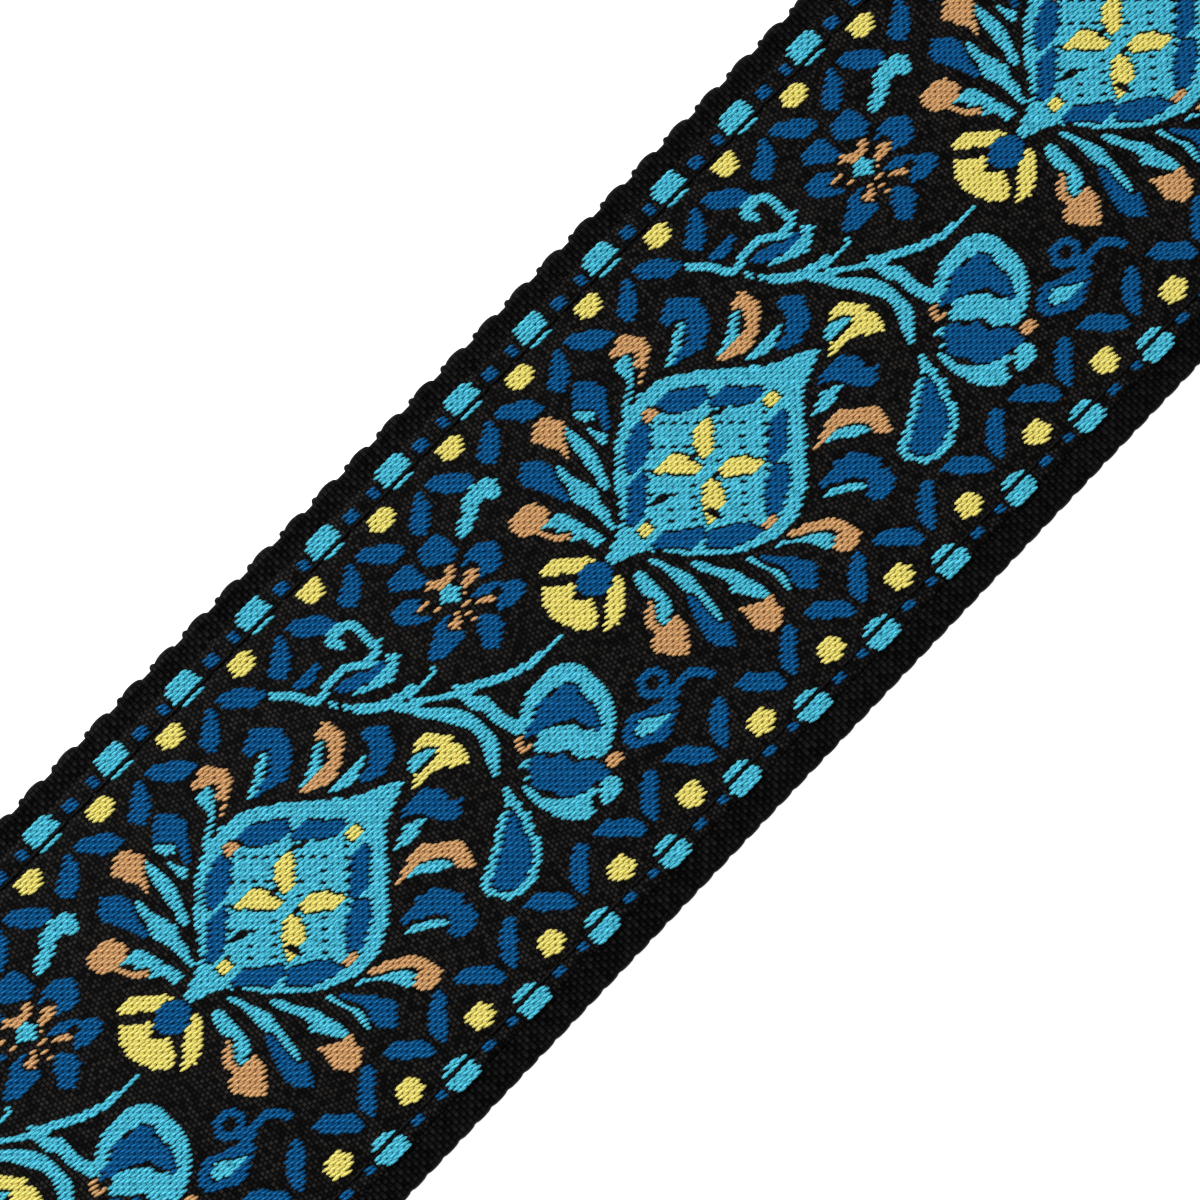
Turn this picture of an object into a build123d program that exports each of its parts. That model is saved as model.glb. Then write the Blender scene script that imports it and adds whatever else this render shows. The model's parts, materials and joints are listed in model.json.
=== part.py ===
"""Guitar strap: a patterned ribbon sewn onto webbing, with a slider, a ring and two leather ends.

Millimetres. +X runs along the strap from the front end to the tail end, +Y across it and
+Z up. The strap lies straight on the plane z = 0 with its ribbon side up.

Lengths below are counted from the line where the front leather end bends, x = 0. The whole
strap is moved at the end, so that its origin is the bottom centre of its bounding box.
"""

from build123d import *
from dataclasses import dataclass
from math import atan2, copysign, cos, degrees, pi, radians, sin
import os

# Strap cross-section: a ribbon sewn onto the upper face of a wider webbing.
STRAP_WIDTH = 50.8
WEBBING_THICK = 1.2
RIBBON_THICK = 0.6
STRAP_THICK = WEBBING_THICK + RIBBON_THICK
HALF_THICK = STRAP_THICK / 2
RIBBON_SIDES = (-22.6, 23.6)
STITCH_ROWS = (-20.8, 21.3)
THREAD_WIDTH = 0.8
THREAD_DEPTH = 0.3
RUNNING_GAP = 0.3
PLY_GAP = 0.1

# Where things are along the strap.
FRONT_LEVEL_RUN = 3.0
FRONT_RAMP_RUN = 20.0
RAMP_START = 300.0
RAMP_RUN = 80.0
SLIDER_X = 740.0
RING_X = 960.0
FOLD_RUN = 12.0

# Slider: three bars between two cheeks. The middle bar is below the strap, the others above.
SLIDER_BAR_WIDTH = 6.0
SLIDER_BAR_THICK = 2.0
SLIDER_LENGTH = 40.0
OUTER_BAR_WIDTH = 5.5
OUTER_BAR_THICK = 2.5
CHEEK_GAP = 1.0
CHEEK_THICK = 4.0
CHEEK_BOTTOM = 1.2
WRAP_GAP = 0.1
FLAP_STEP_RUN = 14.0
FLAP_LENGTH = 24.0
SEAM_LENGTH = 44.0

# Ring: a rounded rectangle of round bar, with a bar across each end of it.
RING_BAR_RADIUS = 2.05
RING_PITCH = 16.0
RING_SIDE_PITCH = 57.0
RING_CORNER_RADIUS = 2.8

# Leather ends: two plies sewn round the end of the webbing.
LEATHER_THICK = 1.8
LEATHER_WIDTH = 54.0
LEATHER_LENGTH = 95.0
LEATHER_SHOULDER = 50.0
LEATHER_TIP_RADIUS = 15.0
LEATHER_CORNER_RADIUS = 5.0
LEATHER_OVERLAP = 45.0
LEATHER_STEP_RUN = 12.0
HOLE_RADIUS = 3.5
HOLE_FROM_TIP = 14.0
SLIT_LENGTH = 9.0
SLIT_WIDTH = 0.8
SEAM_MARGIN = 3.0
SURFACE_THREAD = 0.2

# Tail loop: plain webbing, doubled round the ring's far bar and sewn between the leather plies.
LOOP_WIDTH = 50.0
LOOP_THICK = 1.4
LOOP_STEP_RUN = 9.0
LOOP_FILLING = 2 * LOOP_THICK + PLY_GAP

# Levels of the middle of the strap's thickness.
TABLE_LEVEL = HALF_THICK
FRONT_LEVEL = LEATHER_THICK + HALF_THICK
SLIDER_WRAP_RADIUS = SLIDER_BAR_THICK / 2 + WRAP_GAP + HALF_THICK
SLIDER_BAR_LEVEL = TABLE_LEVEL + SLIDER_WRAP_RADIUS
SLIDER_TOP_LEVEL = TABLE_LEVEL + 2 * SLIDER_WRAP_RADIUS
RUN_LEVEL = SLIDER_TOP_LEVEL + STRAP_THICK + RUNNING_GAP
FLAP_LEVEL = TABLE_LEVEL + STRAP_THICK + PLY_GAP
RING_LEVEL = (TABLE_LEVEL + RUN_LEVEL) / 2
RING_WRAP_RADIUS = RING_LEVEL - TABLE_LEVEL
FAR_BAR_X = RING_X + RING_PITCH
LOOP_RADIUS = RING_WRAP_RADIUS - HALF_THICK + LOOP_THICK / 2

# Where the two leather ends start, and the middle of the whole strap.
FRONT_GAP = HALF_THICK + RUNNING_GAP
FRONT_LEATHER_X = -FRONT_GAP
TAIL_LEATHER_X = FAR_BAR_X + LOOP_STEP_RUN + 1.0
MIDDLE_X = (FRONT_LEATHER_X - LEATHER_LENGTH + TAIL_LEATHER_X + LEATHER_LENGTH) / 2


@dataclass
class Path:
    """A line in the XZ plane: a start, a heading in degrees, and moves along it."""

    start: tuple
    heading: float
    moves: list


def straight(length):
    """A straight move."""
    return [("straight", length)]


def bend(radius, turn):
    """An arc that turns left by so many degrees, or right if turn is negative."""
    return [("bend", radius, turn)]


def sway(shift, run):
    """Two opposite arcs that move the line to its left by shift over a length of run."""
    turn = 2 * atan2(abs(shift), run)
    radius = run / (2 * sin(turn))
    turn = copysign(degrees(turn), shift)
    return bend(radius, turn) + bend(radius, -turn)


def side_line(path, offset):
    """Edges of the line that keeps a constant distance to the left of a path."""
    edges = []
    place = Vector(*path.start)
    angle = radians(path.heading)
    for kind, size, *turn in path.moves:
        left = Vector(-sin(angle), cos(angle))
        if kind == "straight":
            ahead = Vector(cos(angle), sin(angle)) * size
            edges.append(Line(place + left * offset, place + ahead + left * offset))
            place = place + ahead
            continue
        sense = copysign(1, turn[0])
        centre = place + left * size * sense
        reach = offset - size * sense
        spots = []
        for share in (0, 0.5, 1):
            spoke = angle + pi / 2 + radians(turn[0]) * share
            spots.append(centre + Vector(cos(spoke), sin(spoke)) * reach)
        edges.append(ThreePointArc(*spots))
        angle += radians(turn[0])
        place = centre - Vector(-sin(angle), cos(angle)) * size * sense
    return edges


def across(profile, y_low, y_high):
    """Solid between two y values, from a profile drawn in X and Z."""
    return extrude(Plane.XZ.offset(-y_high) * profile, amount=y_high - y_low)


def strip(path, low, high, y_low, y_high):
    """Flat strip that follows a path, between two distances to its left."""
    near = side_line(path, low)
    far = side_line(path, high)
    caps = [Line(near[0] @ 0, far[0] @ 0), Line(near[-1] @ 1, far[-1] @ 1)]
    return across(make_face(near + far + caps), y_low, y_high)


def sewn_strap(section, path):
    """Webbing, ribbon and the two rows of stitching that hold them together."""
    bond = WEBBING_THICK - HALF_THICK
    webbing = strip(path, -HALF_THICK, bond, -STRAP_WIDTH / 2, STRAP_WIDTH / 2)
    ribbon = strip(path, bond, HALF_THICK, *RIBBON_SIDES)
    threads = []
    for row in STITCH_ROWS:
        sides = (row - THREAD_WIDTH / 2, row + THREAD_WIDTH / 2)
        threads.append(strip(path, HALF_THICK - THREAD_DEPTH, HALF_THICK, *sides))
    for thread in threads:
        ribbon -= thread
    return {
        f"webbing_{section}": webbing,
        f"ribbon_{section}": ribbon,
        f"edge_stitching_{section}": Compound([piece.solid() for piece in threads]),
    }


def front_ramp():
    """From the front bending line down to the table, with a round front edge."""
    descent = sway(TABLE_LEVEL - FRONT_LEVEL, FRONT_RAMP_RUN)
    moves = straight(HALF_THICK + FRONT_LEVEL_RUN) + descent
    nodes = sewn_strap("front_ramp", Path((-HALF_THICK, FRONT_LEVEL), 0, moves))
    square = Pos(-HALF_THICK / 2, FRONT_LEVEL) * Rectangle(HALF_THICK, 2 * STRAP_THICK)
    corners = across(square - Pos(0, FRONT_LEVEL) * Circle(HALF_THICK), -STRAP_WIDTH, STRAP_WIDTH)
    for name, shape in nodes.items():
        pieces = [(solid - corners).solid() for solid in shape.solids()]
        nodes[name] = Compound(pieces)
    return nodes


def front_run():
    """Flat along the table."""
    start = FRONT_LEVEL_RUN + FRONT_RAMP_RUN
    return sewn_strap("front_run", Path((start, TABLE_LEVEL), 0, straight(RAMP_START - start)))


def adjuster_run():
    """Up from the table, then straight through the slider to the ring."""
    climb = sway(RUN_LEVEL - TABLE_LEVEL, RAMP_RUN)
    level_run = RING_X - FOLD_RUN - RAMP_START - RAMP_RUN
    return sewn_strap("adjuster_run", Path((RAMP_START, TABLE_LEVEL), 0, climb + straight(level_run)))


def ring_fold():
    """Round the ring's near bar, from the upper run to the lower one."""
    moves = straight(FOLD_RUN) + bend(RING_WRAP_RADIUS, -180) + straight(FOLD_RUN)
    return sewn_strap("ring_fold", Path((RING_X - FOLD_RUN, RUN_LEVEL), 0, moves))


def foldback_run():
    """Along the table from the ring back towards the slider, ribbon side down."""
    length = RING_X - FOLD_RUN - SLIDER_X - SEAM_LENGTH
    return sewn_strap("foldback_run", Path((RING_X - FOLD_RUN, TABLE_LEVEL), 180, straight(length)))


def slider_wrap():
    """Under the slider's middle bar, over it, and down onto itself as a sewn flap."""
    flat_half = SLIDER_BAR_WIDTH / 2 - SLIDER_BAR_THICK / 2
    moves = straight(SEAM_LENGTH + flat_half)
    moves += bend(SLIDER_WRAP_RADIUS, -180)
    moves += straight(2 * flat_half)
    moves += sway(FLAP_LEVEL - SLIDER_TOP_LEVEL, FLAP_STEP_RUN)
    moves += straight(FLAP_LENGTH)
    nodes = sewn_strap("slider_wrap", Path((SLIDER_X + SEAM_LENGTH, TABLE_LEVEL), 180, moves))
    flap_start = SLIDER_X + flat_half + FLAP_STEP_RUN
    seam = box_seam(FLAP_LENGTH - 2 * SEAM_MARGIN, 36.0)
    place = Pos(flap_start + FLAP_LENGTH / 2, 0, FLAP_LEVEL + HALF_THICK)
    nodes["slider_flap_stitching"] = place * extrude(seam, amount=SURFACE_THREAD)
    return nodes


def box_seam(length, width):
    """Outline of a sewn box with a cross in it, as flat thread."""
    frame = Rectangle(length, width) - Rectangle(length - 2 * THREAD_WIDTH, width - 2 * THREAD_WIDTH)
    slope = degrees(atan2(width, length))
    diagonal = ((length - THREAD_WIDTH) ** 2 + (width - THREAD_WIDTH) ** 2) ** 0.5
    for angle in (slope, -slope):
        frame += Rot(0, 0, angle) * Rectangle(diagonal, THREAD_WIDTH)
    return frame


def tri_glide():
    """Moulded slider: two cheeks that stand beside the strap, and three bars between them."""
    inner = STRAP_WIDTH / 2 + CHEEK_GAP
    outer = inner + CHEEK_THICK
    half = SLIDER_LENGTH / 2
    bar_bottom = RUN_LEVEL + HALF_THICK + RUNNING_GAP
    top = bar_bottom + OUTER_BAR_THICK
    arch = Polyline(
        (-half, top), (half, top), (half, bar_bottom), (SLIDER_BAR_WIDTH, CHEEK_BOTTOM),
        (-SLIDER_BAR_WIDTH, CHEEK_BOTTOM), (-half, bar_bottom), close=True,
    )
    profile = make_face(arch)
    profile = fillet(profile.vertices(), 1.1)
    body = across(profile, -outer, -inner) + across(profile, inner, outer)
    middle_bar = Pos(0, SLIDER_BAR_LEVEL) * SlotOverall(SLIDER_BAR_WIDTH, SLIDER_BAR_THICK)
    body += across(middle_bar, -inner, inner)
    for side in (-1, 1):
        centre = Pos(side * (half - OUTER_BAR_WIDTH / 2), top - OUTER_BAR_THICK / 2)
        outer_bar = centre * RectangleRounded(OUTER_BAR_WIDTH, OUTER_BAR_THICK, 1.1)
        body += across(outer_bar, -inner, inner)
    return Pos(SLIDER_X, 0, 0) * body


def rectangular_ring():
    """Ring of round bar, lying level between the strap's fold and the tail loop."""
    centre_line = RectangleRounded(RING_PITCH, RING_SIDE_PITCH, RING_CORNER_RADIUS).wire()
    section = Plane(origin=centre_line @ 0, z_dir=centre_line % 0) * Circle(RING_BAR_RADIUS)
    ring = sweep(section, path=centre_line)
    return Pos(RING_X + RING_PITCH / 2, 0, RING_LEVEL) * ring


def tail_loop():
    """Plain webbing that starts between the leather plies, goes round the far bar and returns."""
    low_level = LEATHER_THICK + LOOP_THICK / 2
    high_level = low_level + LOOP_THICK + PLY_GAP
    leg = LEATHER_OVERLAP + 1.0
    moves = straight(leg)
    moves += sway(high_level - (RING_LEVEL + LOOP_RADIUS), LOOP_STEP_RUN)
    moves += bend(LOOP_RADIUS, 180)
    moves += sway(low_level - (RING_LEVEL - LOOP_RADIUS), LOOP_STEP_RUN)
    moves += straight(leg)
    path = Path((FAR_BAR_X + LOOP_STEP_RUN + leg, high_level), 180, moves)
    half = LOOP_THICK / 2
    return {"tail_webbing_loop": strip(path, -half, half, -LOOP_WIDTH / 2, LOOP_WIDTH / 2)}


def leather_outline(inset):
    """Straight inner edge at x = 0, tapering to a round tip, drawn in by so much all round."""
    shoulder = Pos(LEATHER_SHOULDER / 2, 0) * RectangleRounded(
        LEATHER_SHOULDER - 2 * inset, LEATHER_WIDTH - 2 * inset, LEATHER_CORNER_RADIUS - inset
    )
    tip = Pos(LEATHER_LENGTH - LEATHER_TIP_RADIUS, 0) * Circle(LEATHER_TIP_RADIUS - inset)
    return make_hull(shoulder.edges() + tip.edges())


def button_hole():
    """Round hole for a strap button, with a slit from it towards the strap."""
    centre = LEATHER_LENGTH - HOLE_FROM_TIP
    slit = Pos(centre - (HOLE_RADIUS + SLIT_LENGTH) / 2, 0)
    return Pos(centre, 0) * Circle(HOLE_RADIUS) + slit * SlotOverall(
        HOLE_RADIUS + SLIT_LENGTH, SLIT_WIDTH
    )


def leather_end(end, filling):
    """Two plies round a filling of webbing, with a seam round the edge and a box seam.

    It is made with its inner edge at x = 0 and its tip towards +X.
    """
    outline = leather_outline(0)
    tall = 4 * LEATHER_THICK + filling
    punch = extrude(button_hole(), amount=tall)
    blank = extrude(outline, amount=tall) - punch
    bottom = extrude(outline - button_hole(), amount=LEATHER_THICK)
    level = LEATHER_THICK + filling + LEATHER_THICK / 2
    moves = straight(LEATHER_OVERLAP + 1.0) + sway(-filling, LEATHER_STEP_RUN)
    moves += straight(LEATHER_LENGTH - LEATHER_OVERLAP - LEATHER_STEP_RUN)
    path = Path((0, level), 0, moves)
    half = LEATHER_THICK / 2
    top = strip(path, -half, half, -LEATHER_WIDTH, LEATHER_WIDTH) & blank
    seam_line = leather_outline(SEAM_MARGIN) - leather_outline(SEAM_MARGIN + THREAD_WIDTH)
    skin = strip(path, half, half + SURFACE_THREAD, -LEATHER_WIDTH, LEATHER_WIDTH)
    perimeter = skin & extrude(seam_line, amount=tall)
    box_length = LEATHER_OVERLAP - 4 * SEAM_MARGIN
    box = extrude(box_seam(box_length, 36.0), amount=SURFACE_THREAD)
    box = Pos(LEATHER_OVERLAP / 2, 0, level + half) * box
    return {
        f"leather_{end}_top": top,
        f"leather_{end}_bottom": bottom,
        f"{end}_perimeter_stitching": perimeter,
        f"{end}_box_stitching": box,
    }


def front_end():
    """Front leather end, with the end of the strap sewn between its plies."""
    nodes = {}
    for name, shape in leather_end("front", STRAP_THICK).items():
        nodes[name] = Pos(FRONT_LEATHER_X, 0, 0) * mirror(shape, Plane.YZ)
    start = (FRONT_LEATHER_X - LEATHER_OVERLAP, FRONT_LEVEL)
    nodes.update(sewn_strap("front_end", Path(start, 0, straight(LEATHER_OVERLAP))))
    return nodes


def tail_end():
    """Tail leather end on its webbing loop."""
    nodes = tail_loop()
    for name, shape in leather_end("tail", LOOP_FILLING).items():
        nodes[name] = Pos(TAIL_LEATHER_X, 0, 0) * shape
    return nodes


def strap():
    """Every piece of the strap, by name."""
    nodes = {"tri_glide": tri_glide(), "rectangular_ring": rectangular_ring()}
    nodes.update(front_end())
    for section in (front_ramp, front_run, adjuster_run, ring_fold, foldback_run, slider_wrap):
        nodes.update(section())
    nodes.update(tail_end())
    return nodes


os.makedirs("parts", exist_ok=True)
for node, shape in strap().items():
    export_step(Pos(-MIDDLE_X, 0, 0) * shape, f"parts/{node}.step")
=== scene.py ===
"""Looks of the guitar strap: jacquard ribbon on webbing, leather ends, slider and ring.

Strap space: s is the distance along the strap's middle line, y is across it and h is above
the middle of its thickness, all in millimetres. Path.place turns it into the row frame.
"""

import json
from math import atan2, cos, pi, radians, sin

import bpy
import numpy as np
from mathutils import Matrix, Vector
from mathutils.geometry import delaunay_2d_cdt


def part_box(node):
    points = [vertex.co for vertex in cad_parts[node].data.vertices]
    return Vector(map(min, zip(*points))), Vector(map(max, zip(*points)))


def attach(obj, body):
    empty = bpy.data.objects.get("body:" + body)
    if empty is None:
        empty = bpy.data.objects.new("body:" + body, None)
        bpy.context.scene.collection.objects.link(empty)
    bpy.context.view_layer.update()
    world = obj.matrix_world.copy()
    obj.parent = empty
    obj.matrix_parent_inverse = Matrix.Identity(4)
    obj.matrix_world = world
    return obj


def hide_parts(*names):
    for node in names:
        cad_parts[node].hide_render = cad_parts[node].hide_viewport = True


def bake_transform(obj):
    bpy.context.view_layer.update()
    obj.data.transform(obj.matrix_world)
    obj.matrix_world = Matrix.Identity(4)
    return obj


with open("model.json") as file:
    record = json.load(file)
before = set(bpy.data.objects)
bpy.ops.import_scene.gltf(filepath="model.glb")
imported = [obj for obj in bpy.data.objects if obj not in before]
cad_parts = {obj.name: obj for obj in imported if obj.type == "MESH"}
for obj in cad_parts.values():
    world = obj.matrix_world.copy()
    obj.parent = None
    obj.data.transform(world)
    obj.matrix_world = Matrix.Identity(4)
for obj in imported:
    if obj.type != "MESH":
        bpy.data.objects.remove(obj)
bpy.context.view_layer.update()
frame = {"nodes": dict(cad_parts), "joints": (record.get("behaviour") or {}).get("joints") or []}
scene = bpy.context.scene
MM = 0.001
JOINTS = {joint["name"]: joint for joint in frame["joints"]}


def low(node, axis):
    """Lowest x, y or z of a CAD node, in millimetres."""
    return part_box(node)[0]["xyz".index(axis)] / MM


def high(node, axis):
    """Highest x, y or z of a CAD node, in millimetres."""
    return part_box(node)[1]["xyz".index(axis)] / MM


def joint_at(name):
    """X and Z of a hinge's axis, in millimetres."""
    x, _, z = JOINTS[name]["pos_m"]
    return x / MM, z / MM


# Cross-section of the strap.
HALF_WIDTH = high("webbing_front_run", "y")
RIBBON_LOW_Y = low("ribbon_front_run", "y")
RIBBON_HIGH_Y = high("ribbon_front_run", "y")
HALF_THICK = high("ribbon_front_run", "z") / 2
BOND = high("webbing_front_run", "z") - HALF_THICK
MARGIN = 2.9
STITCH_ROWS = (low("edge_stitching_front_run", "y") + 0.4, high("edge_stitching_front_run", "y") - 0.4)

# Places along the strap.
FRONT_END_X = low("webbing_front_end", "x")
HINGE_X, FRONT_LEVEL = joint_at("front_tab_flex")
RING_X, RING_LEVEL = joint_at("ring_swing")
FAR_BAR_X = joint_at("tail_swing")[0]
TABLE_X = low("webbing_front_run", "x")
CLIMB_X = high("webbing_front_run", "x")
CLIMB_RUN = 80.0
FRONT_LEVEL_RUN = 3.0
RAMP_RUN = TABLE_X - HINGE_X - FRONT_LEVEL_RUN
FRONT_GAP = 1.2
FOLD_X = low("webbing_ring_fold", "x")
SEAM_X = low("webbing_foldback_run", "x")
RUN_LEVEL = high("ribbon_adjuster_run", "z") - HALF_THICK
RAMP_DROP = FRONT_LEVEL - HALF_THICK
CLIMB_RISE = RUN_LEVEL - HALF_THICK
WRAP_RADIUS = high("ribbon_slider_wrap", "z") / 2 - HALF_THICK
WRAP_X = low("ribbon_slider_wrap", "x") + HALF_THICK + WRAP_RADIUS
BAR_FLAT = 4.0
FLAP_STEP_RUN = 14.0
FLAP_LENGTH = 24.0
FLAP_LEVEL = 3 * HALF_THICK + 0.1

# The woven pattern: the length after which it repeats, the borders' unit, the pitch of the lanes
# of thread, the grain at which they are painted, and the length of a float.
REPEAT = 56.25
UNIT = REPEAT / 6
PATTERN_MIDDLE_Y = 1.4
VIEW_X = HINGE_X + 165.0
VIEW_HALF_LENGTH = 86.0
PATTERN_X = VIEW_X - 40.0
LANES_BETWEEN_ROWS = 109
PITCH = (STITCH_ROWS[1] - STITCH_ROWS[0]) / LANES_BETWEEN_ROWS
GRAIN = 0.05
FLOAT = 0.75
SHORTEST_RUN = 0.35
LONGEST_FINE_PIECE = 44.0
LONGEST_PIECE = 150.0

# The webbing's crosswise ribs and lengthwise yarns, and the edge stitches.
RIB = UNIT / 18
YARN = 0.9
STITCH = UNIT / 3
STITCH_PHASE = 2.5

# Heights in the cloth, above the middle of the strap's thickness.
GROUND_TOP = HALF_THICK - 0.12
THREAD_FOOT = GROUND_TOP - 0.08
THREAD_RISE = 0.33

# A float: the least length left at the tip of a run, how far two floats overlap, how much it
# slants, and its half-width as a share of the pitch.
TIP = 0.35
OVERLAY = 0.2
SLANT = 0.11
PLUMPNESS = 0.545


# ---------------------------------------------------------------- lines and meshes


class Path:
    """A line in the XZ plane: a start, a heading, and (length, turn) moves along it."""

    def __init__(self, x, z, heading, moves):
        knots = [(0.0, x, z, heading, 0.0)]
        for length, turn in moves:
            s, x, z, angle, _ = knots[-1]
            knots[-1] = (s, x, z, angle, turn / length)
            chord = length * np.sinc(turn / 2 / pi)
            x += chord * cos(angle + turn / 2)
            z += chord * sin(angle + turn / 2)
            knots.append((s + length, x, z, angle + turn, 0.0))
        self.s, self.x, self.z, self.angle, self.curve = np.array(knots).T
        self.length = self.s[-1]

    def place(self, s, y, h):
        """Row-frame points of strap-space ones, in metres."""
        s, y, h = np.broadcast_arrays(s, y, h)
        i = np.clip(np.searchsorted(self.s, s, side="right") - 1, 0, len(self.s) - 1)
        ahead = s - self.s[i]
        turn = self.curve[i] * ahead
        chord = ahead * np.sinc(turn / 2 / pi)
        x = self.x[i] + chord * np.cos(self.angle[i] + turn / 2)
        z = self.z[i] + chord * np.sin(self.angle[i] + turn / 2)
        angle = self.angle[i] + turn
        return np.stack([x - np.sin(angle) * h, y, z + np.cos(angle) * h], -1) * MM


def straight(length):
    """A straight move of Path."""
    return [(length, 0.0)]


def bend(radius, turn):
    """An arc of Path, to the left if turn is positive."""
    return [(radius * abs(turn), turn)]


def sway(shift, run):
    """Two opposite arcs that move the line to its left by shift over a length of run."""
    turn = 2 * atan2(abs(shift), run)
    radius = run / (2 * sin(turn))
    turn = turn if shift > 0 else -turn
    return bend(radius, turn) + bend(radius, -turn)


def strap_path():
    """The strap's middle line, from its end in the front leather to the end of the sewn flap."""
    moves = straight(HINGE_X + FRONT_LEVEL_RUN - FRONT_END_X)
    moves += sway(-RAMP_DROP, RAMP_RUN)
    moves += straight(CLIMB_X - TABLE_X)
    moves += sway(CLIMB_RISE, CLIMB_RUN)
    moves += straight(RING_X - CLIMB_X - CLIMB_RUN)
    moves += bend(RING_LEVEL - HALF_THICK, -pi)
    moves += straight(RING_X - WRAP_X)
    moves += bend(WRAP_RADIUS, -pi)
    moves += straight(BAR_FLAT)
    moves += sway(FLAP_LEVEL - HALF_THICK - 2 * WRAP_RADIUS, FLAP_STEP_RUN)
    moves += straight(FLAP_LENGTH)
    return Path(FRONT_END_X, FRONT_LEVEL, 0.0, moves)


STRAP = strap_path()
RAMP_LENGTH = sum(length for length, _ in sway(-RAMP_DROP, RAMP_RUN))
CLIMB_LENGTH = sum(length for length, _ in sway(CLIMB_RISE, CLIMB_RUN))


def s_at(x):
    """Distance along the strap at an x on its upper run."""
    s = x - FRONT_END_X
    if x >= TABLE_X:
        s += RAMP_LENGTH - RAMP_RUN
    if x >= CLIMB_X + CLIMB_RUN:
        s += CLIMB_LENGTH - CLIMB_RUN
    return s


def s_under(x):
    """Distance along the strap at an x on its lower run, past the ring."""
    return s_at(RING_X) + pi * (RING_LEVEL - HALF_THICK) + RING_X - x


def new_piece(name, points, faces, uv, material):
    """A mesh object from arrays: faces is a list of index arrays, each (count, corners)."""
    corners = np.concatenate([f.reshape(-1) for f in faces])
    sizes = np.concatenate([np.full(len(f), f.shape[1]) for f in faces])
    mesh = bpy.data.meshes.new(name)
    mesh.vertices.add(len(points))
    mesh.vertices.foreach_set("co", points.astype(np.float32).ravel())
    mesh.loops.add(len(corners))
    mesh.polygons.add(len(sizes))
    mesh.polygons.foreach_set("loop_start", np.cumsum(sizes) - sizes)
    mesh.polygons.foreach_set("vertices", corners.astype(np.int32))
    mesh.polygons.foreach_set("use_smooth", np.ones(len(sizes), bool))
    layer = mesh.uv_layers.new(name="strap")
    layer.data.foreach_set("uv", uv[corners].astype(np.float32).ravel())
    mesh.update(calc_edges=True)
    mesh.materials.append(material)
    piece = bpy.data.objects.new(name, mesh)
    scene.collection.objects.link(piece)
    return piece


def volume_sign(points, quads):
    """Positive if the quads face outwards."""
    a, b, c, d = (points[quads[:, k]] for k in range(4))
    return np.einsum("ij,ij->", a, np.cross(b, c)) + np.einsum("ij,ij->", a, np.cross(c, d))


def tubes(name, rings, counts, uv, material):
    """Closed tubes: rings is (stations, corners, 3), and counts says how many rings each tube has."""
    stations, corners, _ = rings.shape
    index = np.arange(stations * corners).reshape(stations, corners)
    last = np.cumsum(counts) - 1
    first = last - counts + 1
    inner = np.ones(stations, bool)
    inner[last] = False
    here = index[inner]
    there = index[np.flatnonzero(inner) + 1]
    quads = np.stack([here, np.roll(here, -1, 1), np.roll(there, -1, 1), there], -1).reshape(-1, 4)
    caps = [index[first][:, ::-1], index[last]]
    points = rings.reshape(-1, 3)
    if volume_sign(points, quads) < 0:
        quads = quads[:, ::-1]
        caps = [cap[:, ::-1] for cap in caps]
    return new_piece(name, points, [quads] + caps, uv.reshape(-1, 2), material)


# ---------------------------------------------------------------- materials


def material(name, roughness, specular=0.5):
    """A new material: itself, its nodes and its shader."""
    made = bpy.data.materials.new(name)
    made.use_nodes = True
    shader = made.node_tree.nodes["Principled BSDF"]
    shader.inputs["Roughness"].default_value = roughness
    shader.inputs["Specular IOR Level"].default_value = specular
    return made, made.node_tree, shader


def node(tree, kind, **values):
    """A new node with some of its inputs or properties set."""
    made = tree.nodes.new(kind)
    for key, value in values.items():
        name = key.replace("_", " ")
        if name in made.inputs:
            made.inputs[name].default_value = value
        else:
            setattr(made, key, value)
    return made


def surface_coordinates(tree, stretch, turn=0.0):
    """Strap coordinates in millimetres, scaled by stretch and turned."""
    uv = node(tree, "ShaderNodeUVMap", uv_map="strap")
    mapping = node(tree, "ShaderNodeMapping")
    mapping.inputs["Scale"].default_value = (*stretch, 1.0)
    mapping.inputs["Rotation"].default_value = (0.0, 0.0, turn)
    tree.links.new(uv.outputs["UV"], mapping.inputs["Vector"])
    return mapping.outputs["Vector"]


def two_tones(tree, shader, factor, dark, light):
    """Base colour that goes from dark to light with a factor."""
    mix = node(tree, "ShaderNodeMix", data_type="RGBA")
    mix.inputs[6].default_value = (*dark, 1)
    mix.inputs[7].default_value = (*light, 1)
    tree.links.new(factor, mix.inputs[0])
    tree.links.new(mix.outputs[2], shader.inputs["Base Color"])


def add_bump(tree, shader, height, strength, distance):
    """Bump of the shader's surface by a height output."""
    bump = node(tree, "ShaderNodeBump", Strength=strength, Distance=distance)
    tree.links.new(height, bump.inputs["Height"])
    tree.links.new(bump.outputs["Normal"], shader.inputs["Normal"])


def rayon(name, dark, light):
    """Shiny pattern thread: fine fibres along it, a little uneven in tone, with its dark and light tones
    spread wide as painted shade and painted highlight.
    """
    made, tree, shader = material(name, 0.33, 0.8)
    fibres = node(tree, "ShaderNodeTexNoise", Scale=1.0, Detail=3.0)
    tree.links.new(surface_coordinates(tree, (1.2, 9.0)), fibres.inputs["Vector"])
    # The tone follows random noise: partly the thread's own uneven tone, partly painted highlight and
    # painted shade, spread wide by this contrast.
    spread = node(tree, "ShaderNodeMapRange", From_Min=0.3, From_Max=0.7)
    tree.links.new(fibres.outputs["Fac"], spread.inputs["Value"])
    two_tones(tree, shader, spread.outputs["Result"], dark, light)
    add_bump(tree, shader, fibres.outputs["Fac"], 0.45, 0.05 * MM)
    shader.inputs["Specular Tint"].default_value = (*(channel / max(light) for channel in light), 1)
    return made


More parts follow.
